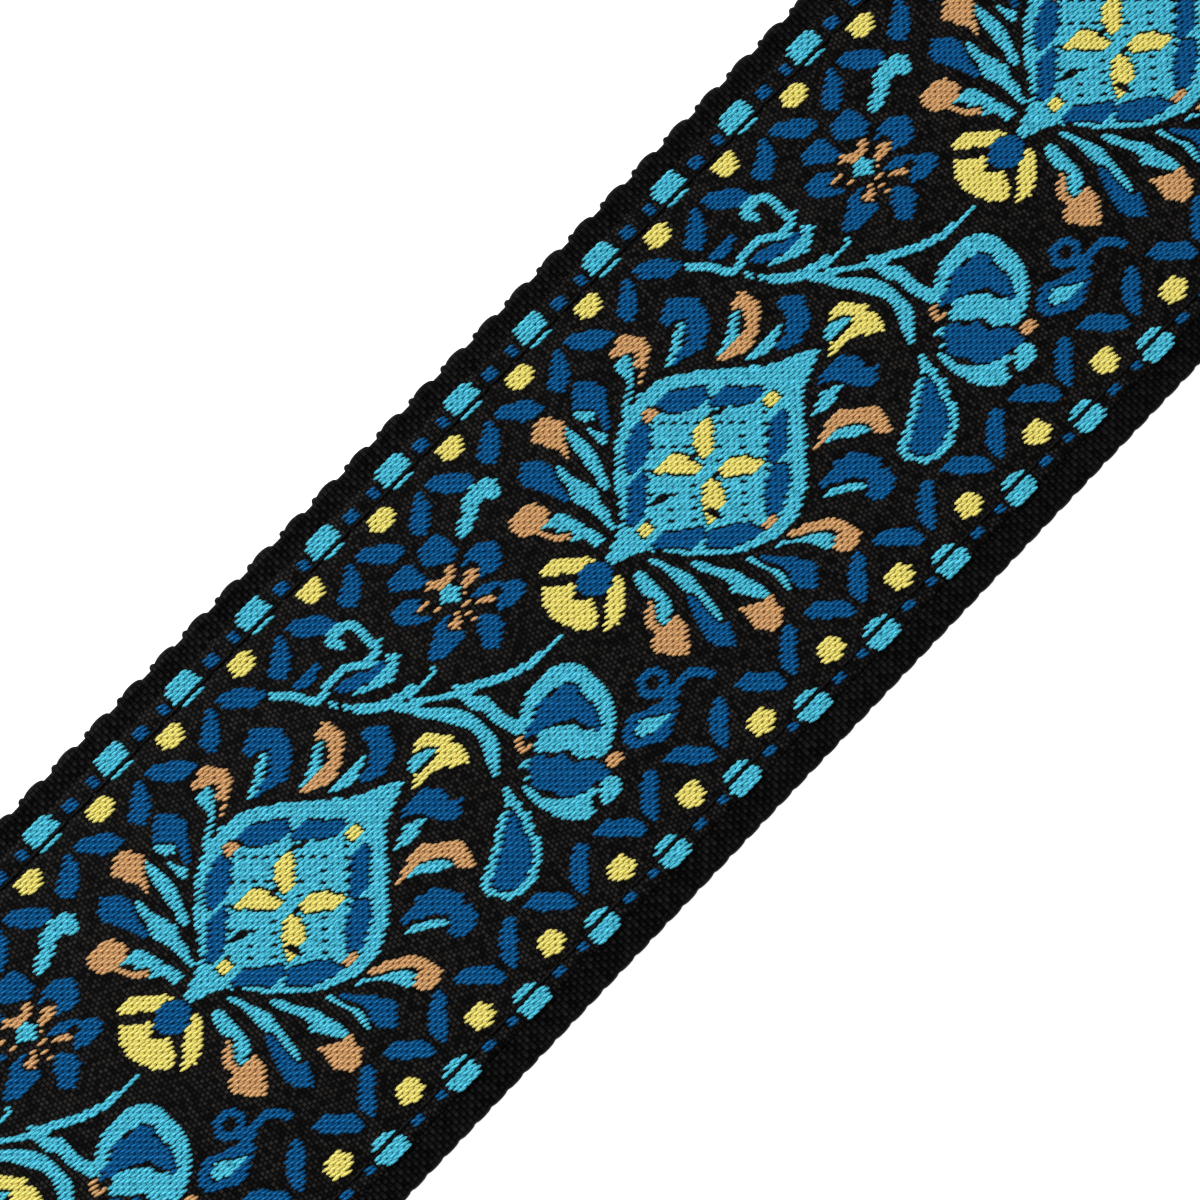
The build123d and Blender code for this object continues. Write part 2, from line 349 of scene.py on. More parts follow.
def weave(name, specular, crossing, tones_with_painted_light, softness, bias, bump):
    """Staggered crossings of a length and width, from dark to lighter ones painted as highlights, with
    painted shade darkening the gaps between.
    """
    made, tree, shader = material(name, 0.5, specular)
    # Tones: the black itself, a painted highlight for the lighter crossings, and painted shade for the gaps
    # between them.
    dark, light, gap = ((*tone, 1) for tone in tones_with_painted_light)
    bricks = node(tree, "ShaderNodeTexBrick", offset=0.5, Scale=1.0, Bias=bias, Brick_Width=crossing[0],
                  Row_Height=crossing[1], Mortar_Size=0.08, Mortar_Smooth=softness, Color1=dark,
                  Color2=light, Mortar=gap)
    tree.links.new(surface_coordinates(tree, (1.0, 1.0), pi / 2), bricks.inputs["Vector"])
    tree.links.new(bricks.outputs["Color"], shader.inputs["Base Color"])
    invert = node(tree, "ShaderNodeMath", operation="SUBTRACT")
    invert.inputs[0].default_value = 1.0
    tree.links.new(bricks.outputs["Fac"], invert.inputs[1])
    add_bump(tree, shader, invert.outputs["Value"], *bump)
    return made


def ribbon_ground():
    """The ribbon's black ground, where some crossings are painted lighter as highlights and the gaps
    between are painted shade.
    """
    tones_with_painted_light = (0.0015, 0.0013, 0.0013), (0.020, 0.018, 0.017), (0.0008, 0.0007, 0.0007)
    return weave("ribbon_ground", 0.04, (0.46, 0.42), tones_with_painted_light, 0.7, -0.1, (1.0, 0.16 * MM))


def webbing_black():
    """Coarse black webbing, dull, with the crossings of its yarns, some painted lighter as highlights, and
    painted shade in the gaps between.
    """
    tones_with_painted_light = (0.001, 0.0009, 0.0009), (0.006, 0.0055, 0.0055), (0.0005, 0.0005, 0.0005)
    return weave("webbing_black", 0.03, (YARN, RIB), tones_with_painted_light, 1.0, 0.0, (0.8, 0.14 * MM))


def sewing_thread():
    """Dark twisted sewing thread."""
    made, tree, shader = material("sewing_thread", 0.5, 0.06)
    plies = node(tree, "ShaderNodeTexWave", bands_direction="DIAGONAL", Scale=0.9, Distortion=0.6,
                 Detail=1.0)
    tree.links.new(surface_coordinates(tree, (1.0, 1.0)), plies.inputs["Vector"])
    two_tones(tree, shader, plies.outputs["Fac"], (0.001, 0.001, 0.001), (0.006, 0.0055, 0.006))
    add_bump(tree, shader, plies.outputs["Fac"], 0.5, 0.06 * MM)
    return made


def leather():
    """Black grained leather, uneven in tone."""
    made, tree, shader = material("leather_black", 0.42, 0.22)
    place = node(tree, "ShaderNodeTexCoord").outputs["Object"]
    grain = node(tree, "ShaderNodeTexVoronoi", Scale=900.0, feature="DISTANCE_TO_EDGE")
    wear = node(tree, "ShaderNodeTexNoise", Scale=60.0, Detail=6.0)
    tree.links.new(place, grain.inputs["Vector"])
    tree.links.new(place, wear.inputs["Vector"])
    two_tones(tree, shader, wear.outputs["Fac"], (0.004, 0.0036, 0.0034), (0.014, 0.0125, 0.0115))
    add_bump(tree, shader, grain.outputs["Distance"], 0.5, 0.25 * MM)
    return made


def moulded_plastic():
    """Black moulded plastic with a fine spark-eroded texture."""
    made, tree, shader = material("moulded_plastic", 0.38)
    place = node(tree, "ShaderNodeTexCoord").outputs["Object"]
    texture = node(tree, "ShaderNodeTexNoise", Scale=2600.0, Detail=2.0)
    flow = node(tree, "ShaderNodeTexNoise", Scale=45.0, Detail=3.0)
    tree.links.new(place, texture.inputs["Vector"])
    tree.links.new(place, flow.inputs["Vector"])
    two_tones(tree, shader, flow.outputs["Fac"], (0.008, 0.008, 0.009), (0.018, 0.018, 0.020))
    add_bump(tree, shader, texture.outputs["Fac"], 0.35, 0.05 * MM)
    return made


WEBBING = webbing_black()
GROUND = ribbon_ground()
SEWING = sewing_thread()
LEATHER = leather()
PLASTIC = moulded_plastic()
# Dark and light tone of each thread: its own colour, spread wider as painted shade and painted highlight.
THREADS = {
    "turquoise": rayon("thread_turquoise", (0.011, 0.18, 0.26), (0.118, 0.65, 0.83)),
    "blue": rayon("thread_blue", (0.001, 0.045, 0.142), (0.007, 0.098, 0.252)),
    "yellow": rayon("thread_yellow", (0.58, 0.50, 0.11), (0.75, 0.67, 0.19)),
    "tan": rayon("thread_tan", (0.41, 0.22, 0.087), (0.60, 0.345, 0.157)),
}
COLOURS = ["ground", *THREADS]


# ---------------------------------------------------------------- the pattern's motifs
#
# Millimetres: the first number runs along the strap from the middle of a repeat, the second is
# across it. Each motif is a list of patches, and later ones are woven over earlier ones. A patch
# is a colour and an outline, or a colour, a line and the line's widths.


def oval(colour, x, y, half_length, half_width, squareness=2.0):
    """Oval patch; a larger squareness fills its corners."""
    turn = np.linspace(0, 2 * pi, 24, endpoint=False)
    along, across = (np.sign(a) * np.abs(a) ** (2 / squareness) for a in (np.cos(turn), np.sin(turn)))
    return colour, list(zip(x + half_length * along, y + half_width * across))


def mirrored(patches, x_axis=None, y_axis=None):
    """The same patches, mirrored left to right about an x or bottom to top about a y."""
    made = []
    for colour, points, *widths in patches:
        flipped = points
        if x_axis is not None:
            flipped = [(2 * x_axis - x, y) for x, y in flipped]
        if y_axis is not None:
            flipped = [(x, 2 * y_axis - y) for x, y in flipped]
        made.append((colour, flipped, *widths))
    return made


def shifted(patches, shift):
    """The same patches, moved along the strap."""
    return [(colour, [(x + shift, y) for x, y in points]) for colour, points in patches]


def medallion():
    """Pointed turquoise frame with a ring of blue bars, round a cross of four yellow petals."""
    frame_line = [
        (-13.8, .2), (-9.9, 1.9), (-7.2, 5.2), (-3.6, 8.2), (.5, 9.1), (4.2, 8), (8, 4.9),
        (11, 2.2), (15.1, 0), (11.3, -1.9), (8.4, -4.8), (4.8, -8.3), (.5, -9.8), (-3.8, -8.2),
        (-7.2, -5.3), (-9.9, -1.8),
    ]
    bars = [
        ("blue", [(.5, 7.4), (2, 7.3), (3.8, 6.4), (5.1, 5), (4.5, 4.2),
            (3.2, 4.3), (1.4, 5.5), (.6, 6.5)]),
        ("blue", [(4.2, 3.8), (6.1, 4), (7.4, 2.7), (8.6, 1.6), (8.4, .8),
            (6.9, 1), (5.4, 2.2), (4.2, 3.2)]),
    ]
    left = mirrored(bars, x_axis=-.3)
    upper = bars + left
    petals = [
        ("yellow", [(-4.3, 3), (-1.6, 3.1), (-.9, 2.1), (-.6, 1), (-.6, 0),
            (-1.6, .1), (-2.4, .9), (-3.3, 1.9)]),
        ("yellow", [(3.5, 3.2), (1.1, 2.9), (.2, 1.9), (-.1, .5), (1.1, .4), (2.2, 1.2), (3, 2.2)]),
        ("yellow", [(-4.2, -4.1), (-2.8, -4), (-1, -3.4), (-.6, -2.1), (-.8, -1.2),
            (-2.1, -1.3), (-3, -2.2), (-3.6, -3.2)]),
        ("yellow", [(-.3, -1.2), (1.8, -1.1), (2.9, -2), (3.8, -3.8), (2.2, -3.8), (1, -2.9), (.1, -2)]),
    ]
    accents = [
        oval("yellow", 8.55, -.2, .85, .6, 3), oval("yellow", -8.6, -.2, .75, .6, 3),
        oval("tan", -.45, 7, .85, .6, 3), oval("tan", 0, -8, .9, .45, 3),
    ]
    ticks = [
        ("ground", [(3.4, 3.1), (4.0, 2.75), (4.8, 2.4)], [.3]),
        ("ground", [(-6.5, 1.2), (-5, .5)], [.3]),
        ("ground", [(-3.1, -3.2), (-2.9, -4)], [.3]),
        oval("ground", -.5, 1.3, .4, .2), oval("ground", -.3, -1.4, .4, .2),
    ]
    return [("turquoise", frame_line)] + upper + mirrored(upper, y_axis=-.3) + petals + accents + ticks


def tulip():
    """Three yellow petals round a blue centre, at the medallion's left point."""
    return [
        ("yellow", [(-19.05, 3.1), (-18.45, 2.5), (-17.45, 1.7), (-16.6, 1.2), (-16.8, .7), (-17.75, .4),
            (-17.45, -.5), (-16.5, -1.1), (-16.9, -1.9), (-17.8, -2.8), (-18.6, -3.2), (-19.5, -2.6),
            (-20.3, -1.4), (-20.6, 0), (-20.5, 1.5), (-19.8, 2.5)]),
        ("yellow", [(-18.75, 3.9), (-17.45, 4.3), (-16.05, 4), (-15.25, 3.1), (-13.65, 1.4),
            (-16.05, 1.6), (-17.05, 2.5), (-18.05, 3.2)]),
        ("yellow", [(-13.25, -1.3), (-15.25, -1.6), (-16.15, -2.2), (-16.95, -3), (-18.35, -3.9),
            (-17.55, -4.2), (-16.35, -4.4), (-14.25, -2.9)]),
        oval("blue", -15.25, 0, 2.0, 1.5),
    ]


def blue_flower():
    """Eight blue petals round tan stamens and a turquoise heart."""
    petals = [
        [(26.9, 13.1), (27.8, 13.9), (29.1, 14), (30.1, 13.5), (30.3, 12.2),
            (30.3, 11.3), (29.3, 11.2), (27.9, 12)],
        [(31.4, 13.7), (32.8, 14), (34.2, 13.5), (34.3, 12.2), (34.3, 11.4), (33.1, 10.9),
            (32, 11.3), (31, 12), (30.9, 12.8)],
        [(25.3, 11.2), (26.2, 11.7), (27.4, 11.6), (28.4, 10.8), (28, 10), (27.2, 9.6), (28.2, 8.8),
            (27.1, 8.7), (26.2, 9.2), (25.4, 10.1)],
        [(33.1, 10), (34.6, 10.3), (36.2, 10.2), (37.1, 9.5), (37.1, 8.6), (36.4, 7.6), (35.2, 7.4),
            (33.4, 8), (34.2, 8.8), (34.4, 9.4)],
        [(24.6, 5.9), (26, 6.8), (27.4, 7.6), (29.4, 7.6), (28.1, 6.8), (29, 5.9),
            (28.8, 5.1), (27.5, 5), (26.1, 5.1)],
        [(29.4, 3.7), (30.1, 4.8), (30.8, 5.3), (31.9, 5.2), (32.3, 4), (32.4, 3.3),
            (31, 2.4), (30.2, 2.1), (29.4, 2.5)],
        [(31.6, 7.3), (32.6, 7.5), (34, 7.1), (35.2, 6.1), (34.2, 6), (33.4, 6.1), (32.4, 6.5)],
        [(32.6, 4.8), (33.8, 5.4), (35.3, 5.9), (36.4, 4.9), (35.8, 4), (34.6, 3.8), (33.4, 4.1)],
    ]
    stamens = [
        [(29.2, 10.7), (30.2, 11.1), (31.5, 10.4), (32, 10.9), (33.2, 10.4),
            (31.6, 9.6), (30.4, 9.8), (29.8, 10.3)],
        [(31.5, 7.9), (32, 8.5), (31.7, 8.9), (33, 9.1), (34.4, 9), (34.1, 8.4), (32.8, 8.1)],
        [(28.2, 6.7), (29.3, 7.1), (30.4, 7.5), (30.1, 6.9), (29.6, 6.2), (28.8, 6)],
        [(31.6, 6.4), (32.6, 6.5), (33.4, 6), (33.5, 5.6), (32.6, 5.6), (32.1, 6)],
    ]
    specks = [(28.1, 9.85, .8, .3), (28.8, 8.7, .45, .25), (30.6, 6.3, .45, .25),
        (30.6, 5.7, .45, .25), (31.1, 7.2, .6, .3)]
    heart = [(29.3, 9), (30, 9.5), (30.9, 9.7), (31.6, 9.4), (31.8, 8.7), (31.3, 8.1),
        (31, 7.6), (30.5, 7.9), (29.8, 8.4)]
    made = [("blue", petal) for petal in petals] + [("tan", stamen) for stamen in stamens]
    return made + [oval("tan", *speck) for speck in specks] + [("turquoise", heart)]


def upper_feathers():
    """Fan of feathers above the medallion, each a tan or blue tip on a turquoise quill."""
    return [
        ("turquoise", [(-21.25, 11.7), (-20.75, 12.8), (-19.55, 13.3), (-18.55, 14.2), (-17.25, 14.5),
            (-15.95, 14.4), (-14.95, 13.8), (-14.85, 12.7), (-16.05, 11.8), (-17.25, 12.7),
            (-18.95, 12), (-20.25, 11.5)]),
        ("tan", [(-17.25, 9.3), (-16.55, 9.5), (-14.25, 9.4), (-13.25, 7.9), (-14.05, 7.2), (-15.05, 6.9),
            (-14.75, 5.8), (-13.55, 4.8), (-14.25, 4.4), (-15.35, 5.2), (-16.15, 7), (-17.15, 7.6)]),
        ("turquoise", [(-14.75, 7.1), (-13.2, 7), (-12.4, 6.1), (-12.2, 4.9), (-11.9, 3.8), (-11.7, 2),
            (-13.05, 2), (-13.2, 3.2), (-14.1, 4), (-13.5, 4.8), (-14.5, 5.5), (-14.4, 6.1), (-15.1, 6.6)]),
        ("blue", [(-13.55, 11.9), (-12.65, 12.2), (-11.85, 12.6), (-10.25, 11), (-10.35, 10), (-10.85, 9),
            (-11.25, 7.1), (-12.05, 7.1), (-12.35, 8.2), (-13.45, 10.7)]),
        ("turquoise", [(-10.2, 9.9), (-9.6, 9.8), (-9.55, 8.1), (-9.1, 6.8), (-9.1, 5.4), (-9.5, 4.6),
            (-9.5, 3.6), (-10, 2.9), (-10.1, 2.1), (-10.9, 2.1), (-10.9, 3.6), (-11, 5), (-11.4, 6.1),
            (-11.2, 7.1), (-10.8, 7.9), (-10.7, 8.9)]),
        ("tan", [(-9.95, 13), (-9.35, 13.9), (-8.05, 14.3), (-7.05, 13.8), (-6.45, 12.5), (-7.45, 11.3),
            (-8.25, 10), (-8.95, 9.9), (-8.85, 10.8), (-9.35, 11.7)]),
        ("turquoise", [(-7.35, 11.4), (-6.55, 11.8), (-6.3, 9.7), (-6.4, 8.4), (-6.8, 7.3),
            (-7.2, 6.5), (-7.6, 5.4), (-8.2, 4.9), (-8.6, 5), (-8.7, 6.1), (-8.3, 6.6), (-8.2, 8.1),
            (-7.9, 8.8), (-7.9, 9.6), (-7.65, 10.5)]),
        ("blue", [(-4.75, 13), (-3.75, 14), (-2.55, 14.1), (-1.45, 12.3), (-2.45, 10.6), (-3.95, 8.8),
            (-4.65, 9), (-3.85, 11), (-5.05, 12.3)]),
        ("turquoise", [(-5.55, 12), (-5.05, 12.5), (-4.45, 11.9),
            (-3.75, 11.1), (-4.35, 10.6), (-5.25, 11)]),
        ("turquoise", [(-5.65, 10.2), (-5.15, 10.5), (-4.95, 9.7), (-4.45, 8.8),
            (-4.95, 8.3), (-5.75, 8.4), (-5.65, 9.4)]),
        ("tan", [(1, 13.5), (2.1, 14.1), (3.7, 14.1), (4.6, 12.3), (4.1, 11.4), (3.1, 10.7), (.6, 9.4),
            (1.4, 10.3), (2.4, 10.8), (1.5, 11.2), (2.5, 11.9), (2.2, 12.6)]),
        ("turquoise", [(.5, 12.7), (2, 12.8), (2.3, 12), (1.1, 10.6), (.3, 9.9), (-.9, 9.1), (-2.3, 8.9),
            (-1.7, 9.5), (-.6, 10.1), (.3, 10.9)]),
        ("blue", [(6.6, 12.4), (7.6, 13), (9, 13.4), (10.6, 11.8), (10.8, 10.6), (10.2, 9.4), (8, 7.9),
            (6.6, 8.1), (4.2, 8.9), (5.8, 9.2), (7.2, 9.7), (8.1, 10.7), (8, 11.3), (6.8, 11.8)]),
        ("turquoise", [(6.6, 10.8), (8, 11.1), (8.1, 10.6), (6, 9.3), (4.5, 9), (3.8, 9.2), (5.7, 10.1)]),
        ("tan", [(12, 8.4), (13.1, 9), (14.3, 8.9), (14.5, 7), (14, 6.2), (11.8, 4.9), (9.7, 4.8),
            (7.3, 6.2), (10.1, 6.1), (11.4, 6.2), (12.8, 7.7)]),
        ("turquoise", [(11.7, 8.2), (12.7, 7.9), (11.1, 6.6), (10.3, 6.2),
            (7.4, 6.5), (9.2, 6.8), (11, 7.7)]),
        ("blue", [(15.3, 5.5), (16.2, 5.9), (17.6, 4.9), (17.7, 4), (16.4, 2.3), (14, 1.7),
            (12, 2.7), (14, 3.3), (15.1, 4.5)]),
        ("turquoise", [(9.6, 4.3), (13, 4.4), (14.5, 4), (12, 3.1), (10.4, 3.5)]),
    ]


def lower_feathers():
    """Fan of feathers below the medallion."""
    return [
        ("tan", [(-14.25, -5.5), (-12.95, -5.2), (-13.65, -6.6), (-13.95, -7.5), (-12.05, -7.9),
            (-12.95, -10), (-13.75, -10.9), (-14.75, -10.9), (-16.35, -8.9), (-16.15, -7.9),
            (-15.05, -7.5), (-15.25, -6.6)]),
        ("turquoise", [(-12.65, -2.5), (-11.45, -2.6), (-11.45, -3.5), (-11.65, -6.3), (-12.25, -7.2),
            (-13.65, -7.7), (-14.05, -7.3), (-13.35, -5.9), (-12.65, -5.4), (-13.25, -4.4)]),
        ("turquoise", [(-10.65, -2.6), (-9.85, -2.6), (-9.35, -4), (-8.65, -6), (-8.75, -7.2),
            (-9.05, -9.5), (-9.45, -10.9), (-10.25, -10.9), (-9.85, -7.8), (-10.35, -6.8), (-10.25, -4)]),
        ("blue", [(-10.35, -7.3), (-9.85, -8), (-10.05, -9.2), (-10.05, -11.2), (-9.25, -11.6),
            (-10.05, -13.2), (-10.85, -13.7), (-12.15, -12.2), (-11.85, -10.3), (-11.05, -8.2)]),
        ("turquoise", [(-8.05, -5.5), (-7.15, -5.7), (-6.55, -7), (-5.85, -8.3), (-5.35, -9),
            (-4.75, -11.8), (-4.95, -12.7), (-5.75, -12.6), (-7.25, -10.2), (-6.95, -9.4),
            (-7.15, -8.3), (-7.95, -6.6)]),
        ("tan", [(-8.45, -11), (-7.85, -11.5), (-5.75, -12.7), (-4.85, -12.9), (-5.15, -14.6),
            (-6.85, -15.6), (-8.45, -14), (-7.95, -12.4)]),
        ("turquoise", [(-4.25, -9), (-3.45, -9), (-3.15, -10.8), (-2.55, -11.9), (-2.95, -13.6),
            (-3.65, -13.6), (-3.45, -11.8), (-3.75, -10.6)]),
        ("blue", [(-3.25, -10), (-2.55, -9.8), (-1.45, -11.2), (-.65, -12), (.05, -13.9), (-1.45, -15.5),
            (-2.25, -15), (-2.95, -13.5), (-2.35, -12.5), (-2.55, -11.3)]),
        ("turquoise", [(-1.5, -10.2), (-.4, -10), (.2, -10.7), (2.5, -12), (3.3, -13.2), (3.1, -13.9),
            (1.7, -13.8), (1.3, -12.8), (.7, -11.8), (-.6, -10.6)]),
        ("tan", [(.1, -10.2), (1.1, -10.2), (2.8, -10.8), (4.6, -12.2), (5.3, -14.6), (4.5, -15.3),
            (3.4, -15.6), (2.2, -14.3), (3.5, -13.3), (2.8, -12.3), (.6, -10.9)]),
        ("turquoise", [(4.8, -10.3), (5.8, -9.9), (6.8, -10.2), (8.6, -11.6),
            (8.8, -12.2), (8, -12.2), (6, -10.8)]),
        ("blue", [(5.3, -9.3), (6.8, -8.8), (9, -8.7), (10.4, -9.3), (11.5, -11.3), (11.1, -12.2),
            (11.5, -12.9), (10.3, -14.4), (8.1, -13.8), (7.9, -13), (9.1, -11.8), (6.8, -10)]),
        ("tan", [(7.8, -6.6), (8.8, -6), (11.5, -5.2), (12.7, -5.9), (15, -7.9), (14.5, -10),
            (14.1, -10.6), (12.8, -9.5), (12.7, -8.3), (11, -6.8)]),
        ("turquoise", [(7.9, -7), (9.5, -6.7), (11, -6.7), (12.6, -7.9),
            (12.9, -8.8), (11.5, -8.5), (9.5, -7.1)]),
        ("blue", [(12.2, -2.4), (13.7, -1.9), (15.1, -1.8), (16.4, -2.2), (17.4, -3.9), (17, -4.5),
            (17.8, -5.2), (16.2, -6.4), (14.9, -5.1), (13.6, -3.2)]),
        ("turquoise", [(10, -4), (11.4, -3.4), (12.6, -3.2), (14.4, -4.2), (11.4, -4.5)]),
    ]


def yellow_comma():
    """Yellow feather with a turquoise eye, at the medallion's right point."""
    return [
        ("yellow", [(17.5, 1.1), (18.8, 1.5), (20, 1.4), (20.8, .3), (21.4, -.3), (21.1, -1.1),
            (21.5, -2), (20.7, -3.3), (19.5, -2.8), (18.3, -1.9), (16.8, -1.6), (15.2, -1.5), (15.9, -.6),
            (18, -.7), (19.1, -.5), (19.2, .1), (18.5, .6)]),
        ("turquoise", [(15.9, 0), (17, .8), (18.2, .6), (19.2, .1), (19.1, -.4), (17.5, -.5)]),
    ]


def branches():
    """Turquoise branches that cross between the medallions, with a curl and a blue leaf."""
    return [
        ("turquoise", [(12.4, 14.1), (13.7, 12.8), (14.4, 11.4), (15.1, 10.7)], [.9]),
        ("turquoise", [(15.5, 10.9), (17.5, 11.2), (19.1, 11), (20.5, 10.1), (22.1, 10.2), (22.3, 11.6),
            (22.4, 13), (22, 13.8), (20.7, 14.2), (19.7, 13.8), (20.1, 13)], [.8, 1]),
        oval("turquoise", 15.7, 9.5, .5, .45), oval("turquoise", 16.4, 8.4, .5, .45),
        ("turquoise", [(17.2, 9), (18.6, 8.9), (19.8, 8.4), (21.7, 8.6), (22.5, 9.2), (23.4, 8.3),
            (21.4, 7.1), (20, 7.4), (18.7, 7.9)]),
        ("turquoise", [(19.5, 10.7), (20.7, 10.4), (22, 10.4), (22.4, 10.8),
            (23.5, 10.6), (21.5, 9.4), (20.4, 9.4)]),
        ("blue", [(16.7, 10.2), (18, 10.4), (19.5, 10), (20.5, 9.4), (22.2, 9),
            (21, 8.5), (19.5, 8.6), (17, 9.5)]),
        ("blue", [(14.2, 13.2), (15.7, 13.7), (17, 13.5), (17.9, 13), (15.4, 12.4)]),
        ("turquoise", [(17, 7.6), (18.2, 6.5), (19.8, 5.6), (21.8, 5.3)], [1.1]),
        ("turquoise", [(22.2, 4.8), (24.2, 4.8), (24.6, 5.2)], [.5]),
        ("turquoise", [(19.7, 5), (20.5, 4), (21, 2.8), (22, 1.7), (22.7, .6), (23.3, -.5), (23.5, -2),
            (23.2, -3.6), (22.3, -4.8), (21.5, -6)], [1, 1.1, 1.1, 1.3, 1.6, 1.5, 1.2, 1.6, 1.2, .6]),
        ("turquoise", [(21, 4.4), (23.8, 2.3), (26.2, 1.2), (28.2, 0), (30.8, -1), (33, -1.3),
            (35.1, -1.5)], [.6, .7, .9, .9, .8, .6, .4]),
        ("turquoise", [(24.8, 2), (24.9, -.1)], [1.2]),
        ("turquoise", [(25.6, -.4), (25.5, -2.5), (25.8, -3.5), (26.1, -4.8)], [1.3]),
    ]


def pomegranate():
    """Round fruit: turquoise crown, band and base round two blue fields."""
    return [
        ("turquoise", [(27.2, -4.4), (28.4, -3.7), (30.2, -3.4), (32, -3.7), (33.3, -4.8), (33.5, -6.2),
            (33.4, -7.8), (32.6, -9.3), (31.7, -10.3), (30.3, -11.2)],
            [1.2, 1.3, 1.6, 2, 2.2, 1.9, 2, 2, 1.8, 1.5]),
        ("blue", [(25.8, -5.7), (26.7, -5), (28, -4.8), (29.1, -4.2), (31, -4.7),
            (32.3, -4.7), (32.7, -5.7), (32.4, -6.6), (32.3, -8.6), (31.1, -10.2),
            (30.3, -8.3), (29.8, -7.3), (27.5, -6.2)]),
        ("turquoise", [(25.3, -7), (26.5, -6.4), (27.8, -6.3), (29, -7.1), (30, -7.9), (30.1, -8.8),
            (31, -9.5), (30.4, -11), (30, -12), (29.1, -12.1), (29, -11.3), (27.9, -10.9),
            (27.8, -9.3), (26.8, -8.9), (26.1, -7.8)]),
        ("blue", [(24.2, -7.6), (25.2, -7.2), (25.8, -7.8), (26.6, -8.7), (27.6, -9.3),
            (27.4, -10.2), (28.7, -11.4), (29.2, -13.3), (28.4, -13.4), (26, -13),
            (24.4, -12.1), (23.4, -10), (23.1, -9)]),
        oval("turquoise", 24.1, -7.2, .75, .35), oval("turquoise", 23.3, -8.2, .5, .25),
        ("turquoise", [(22.2, -8.7), (22.8, -8.6), (23.1, -9.5), (23.2, -10.6), (24.9, -12.4),
            (27.3, -13.5), (25.8, -14.2), (25.7, -14.9), (24.2, -14.9), (22.6, -12.8), (22, -10.5)]),
        ("turquoise", [(26.8, -14.2), (27.4, -13.7), (28.3, -13.4), (29.1, -13.9), (29.1, -14.8),
            (28.5, -15.4), (26.3, -15.4)]),
        ("tan", [(24.6, -5.4), (25.4, -5), (26.2, -4.9), (25.3, -6),
            (26, -6.3), (25.2, -6.7), (24.5, -6.5)]),
        oval("tan", 30.2, -12.95, 1.0, .7),
    ]


def drop_leaf():
    """Hanging leaf with a turquoise rim and a blue blade."""
    return [
        ("turquoise", [(21.6, -7.4), (21.4, -8.5), (21.1, -11), (20.4, -12), (20.2, -13), (19.4, -14),
            (17.2, -15.4), (15.6, -15.3), (14.1, -15), (12.9, -13), (13.6, -11.8), (16, -10.7),
            (18.7, -9.1), (20, -8.6), (20.8, -7.5)]),
        ("blue", [(20.3, -9), (19.8, -11.3), (18.6, -13.5), (17.4, -14.3), (15.7, -14.7), (14.5, -14.2),
            (13.8, -13.4), (14.5, -12.4), (17.2, -10.8), (19.6, -9.4)]),
    ]


def blue_sprig():
    """Small blue leaf with a turquoise heart, a curl and a tail."""
    return [
        ("blue", [(31.8, -12.4), (32.8, -11.6), (34.2, -11.2), (36.4, -12.1), (38, -12.1), (40.5, -12.1),
            (38.5, -13.2), (37.8, -13.9), (35.1, -15.1), (33, -14.2), (31.8, -13.1)]),
        ("turquoise", [(33.1, -13), (33.8, -12.3), (34.7, -12.2),
            (36.2, -13.2), (37, -13.7), (34.8, -13.9)]),
        oval("blue", 37.8, -10.6, 1.75, 1.45), oval("ground", 37.8, -10.6, .65, .5),
        ("blue", [(38.1, -11.8), (37.6, -12.4)], [.7]),
        ("blue", [(38.8, -12.4), (40.4, -12.3), (41.4, -12.9), (42.1, -13.9)], [1.0]),
    ]


def upper_border(x):
    """One unit of the border by the upper edge: dots in a row and two blue leaves."""
    leaves = [
        ("blue", [(-3.2, 15.8), (-2.8, 14.6), (-1.6, 14.6), (-.3, 15.6), (.3, 16.6), (.4, 17.8),
            (-.2, 17.8), (-1.5, 17), (-2.6, 16.3)]),
        ("blue", [(.9, 17.8), (1.9, 17.9), (3.3, 17.1), (4.4, 16.2), (4.9, 15.2), (4.7, 14.65),
            (3.2, 14.65), (1.9, 15.6), (1.1, 16.7)]),
    ]
    dots = [
        oval("turquoise", -.1, 20.75, 1.8, 1.55, 2.5), oval("blue", 3.5, 20.7, .85, .62, 3),
        oval("blue", 6.5, 20.7, .6, .62, 3), oval("yellow", 5.25, 18.45, 1.45, 1.02, 2.6),
    ]
    return shifted(leaves + dots, x)


def lower_border(x):
    """One unit of the border by the lower edge."""
    leaves = [
        ("blue", [(-3.9, -16.3), (-2, -16.3), (-.9, -17.3), (0, -18.3), (-.05, -19.6), (-.9, -19.8),
            (-1.9, -18.9), (-3.1, -17.7)]),
        ("blue", [(.6, -18.2), (1.4, -17.2), (2.2, -16.4), (3.4, -15.9), (4.2, -16), (4.3, -16.8),
            (3.3, -17.7), (1.9, -19.2), (.8, -19.6)]),
    ]
    dots = [
        oval("turquoise", 0, -22.75, 1.75, 1.5, 2.5), oval("blue", 3.6, -22.85, .75, .5, 3),
        oval("blue", 6.7, -22.85, .6, .5, 3), oval("yellow", 5.0, -20.35, 1.45, 1.12, 2.6),
    ]
    return shifted(leaves + dots, x)


def motifs():
    """Every patch of one repeat, in the order they are woven over each other."""
    made = upper_feathers() + lower_feathers() + medallion() + tulip() + yellow_comma()
    made += branches() + pomegranate() + drop_leaf() + blue_sprig() + blue_flower()
    for unit in range(6):
        made += upper_border(-2.1 + unit * UNIT) + lower_border(-.4 + unit * UNIT)
    return made


# ---------------------------------------------------------------- weaving the pattern


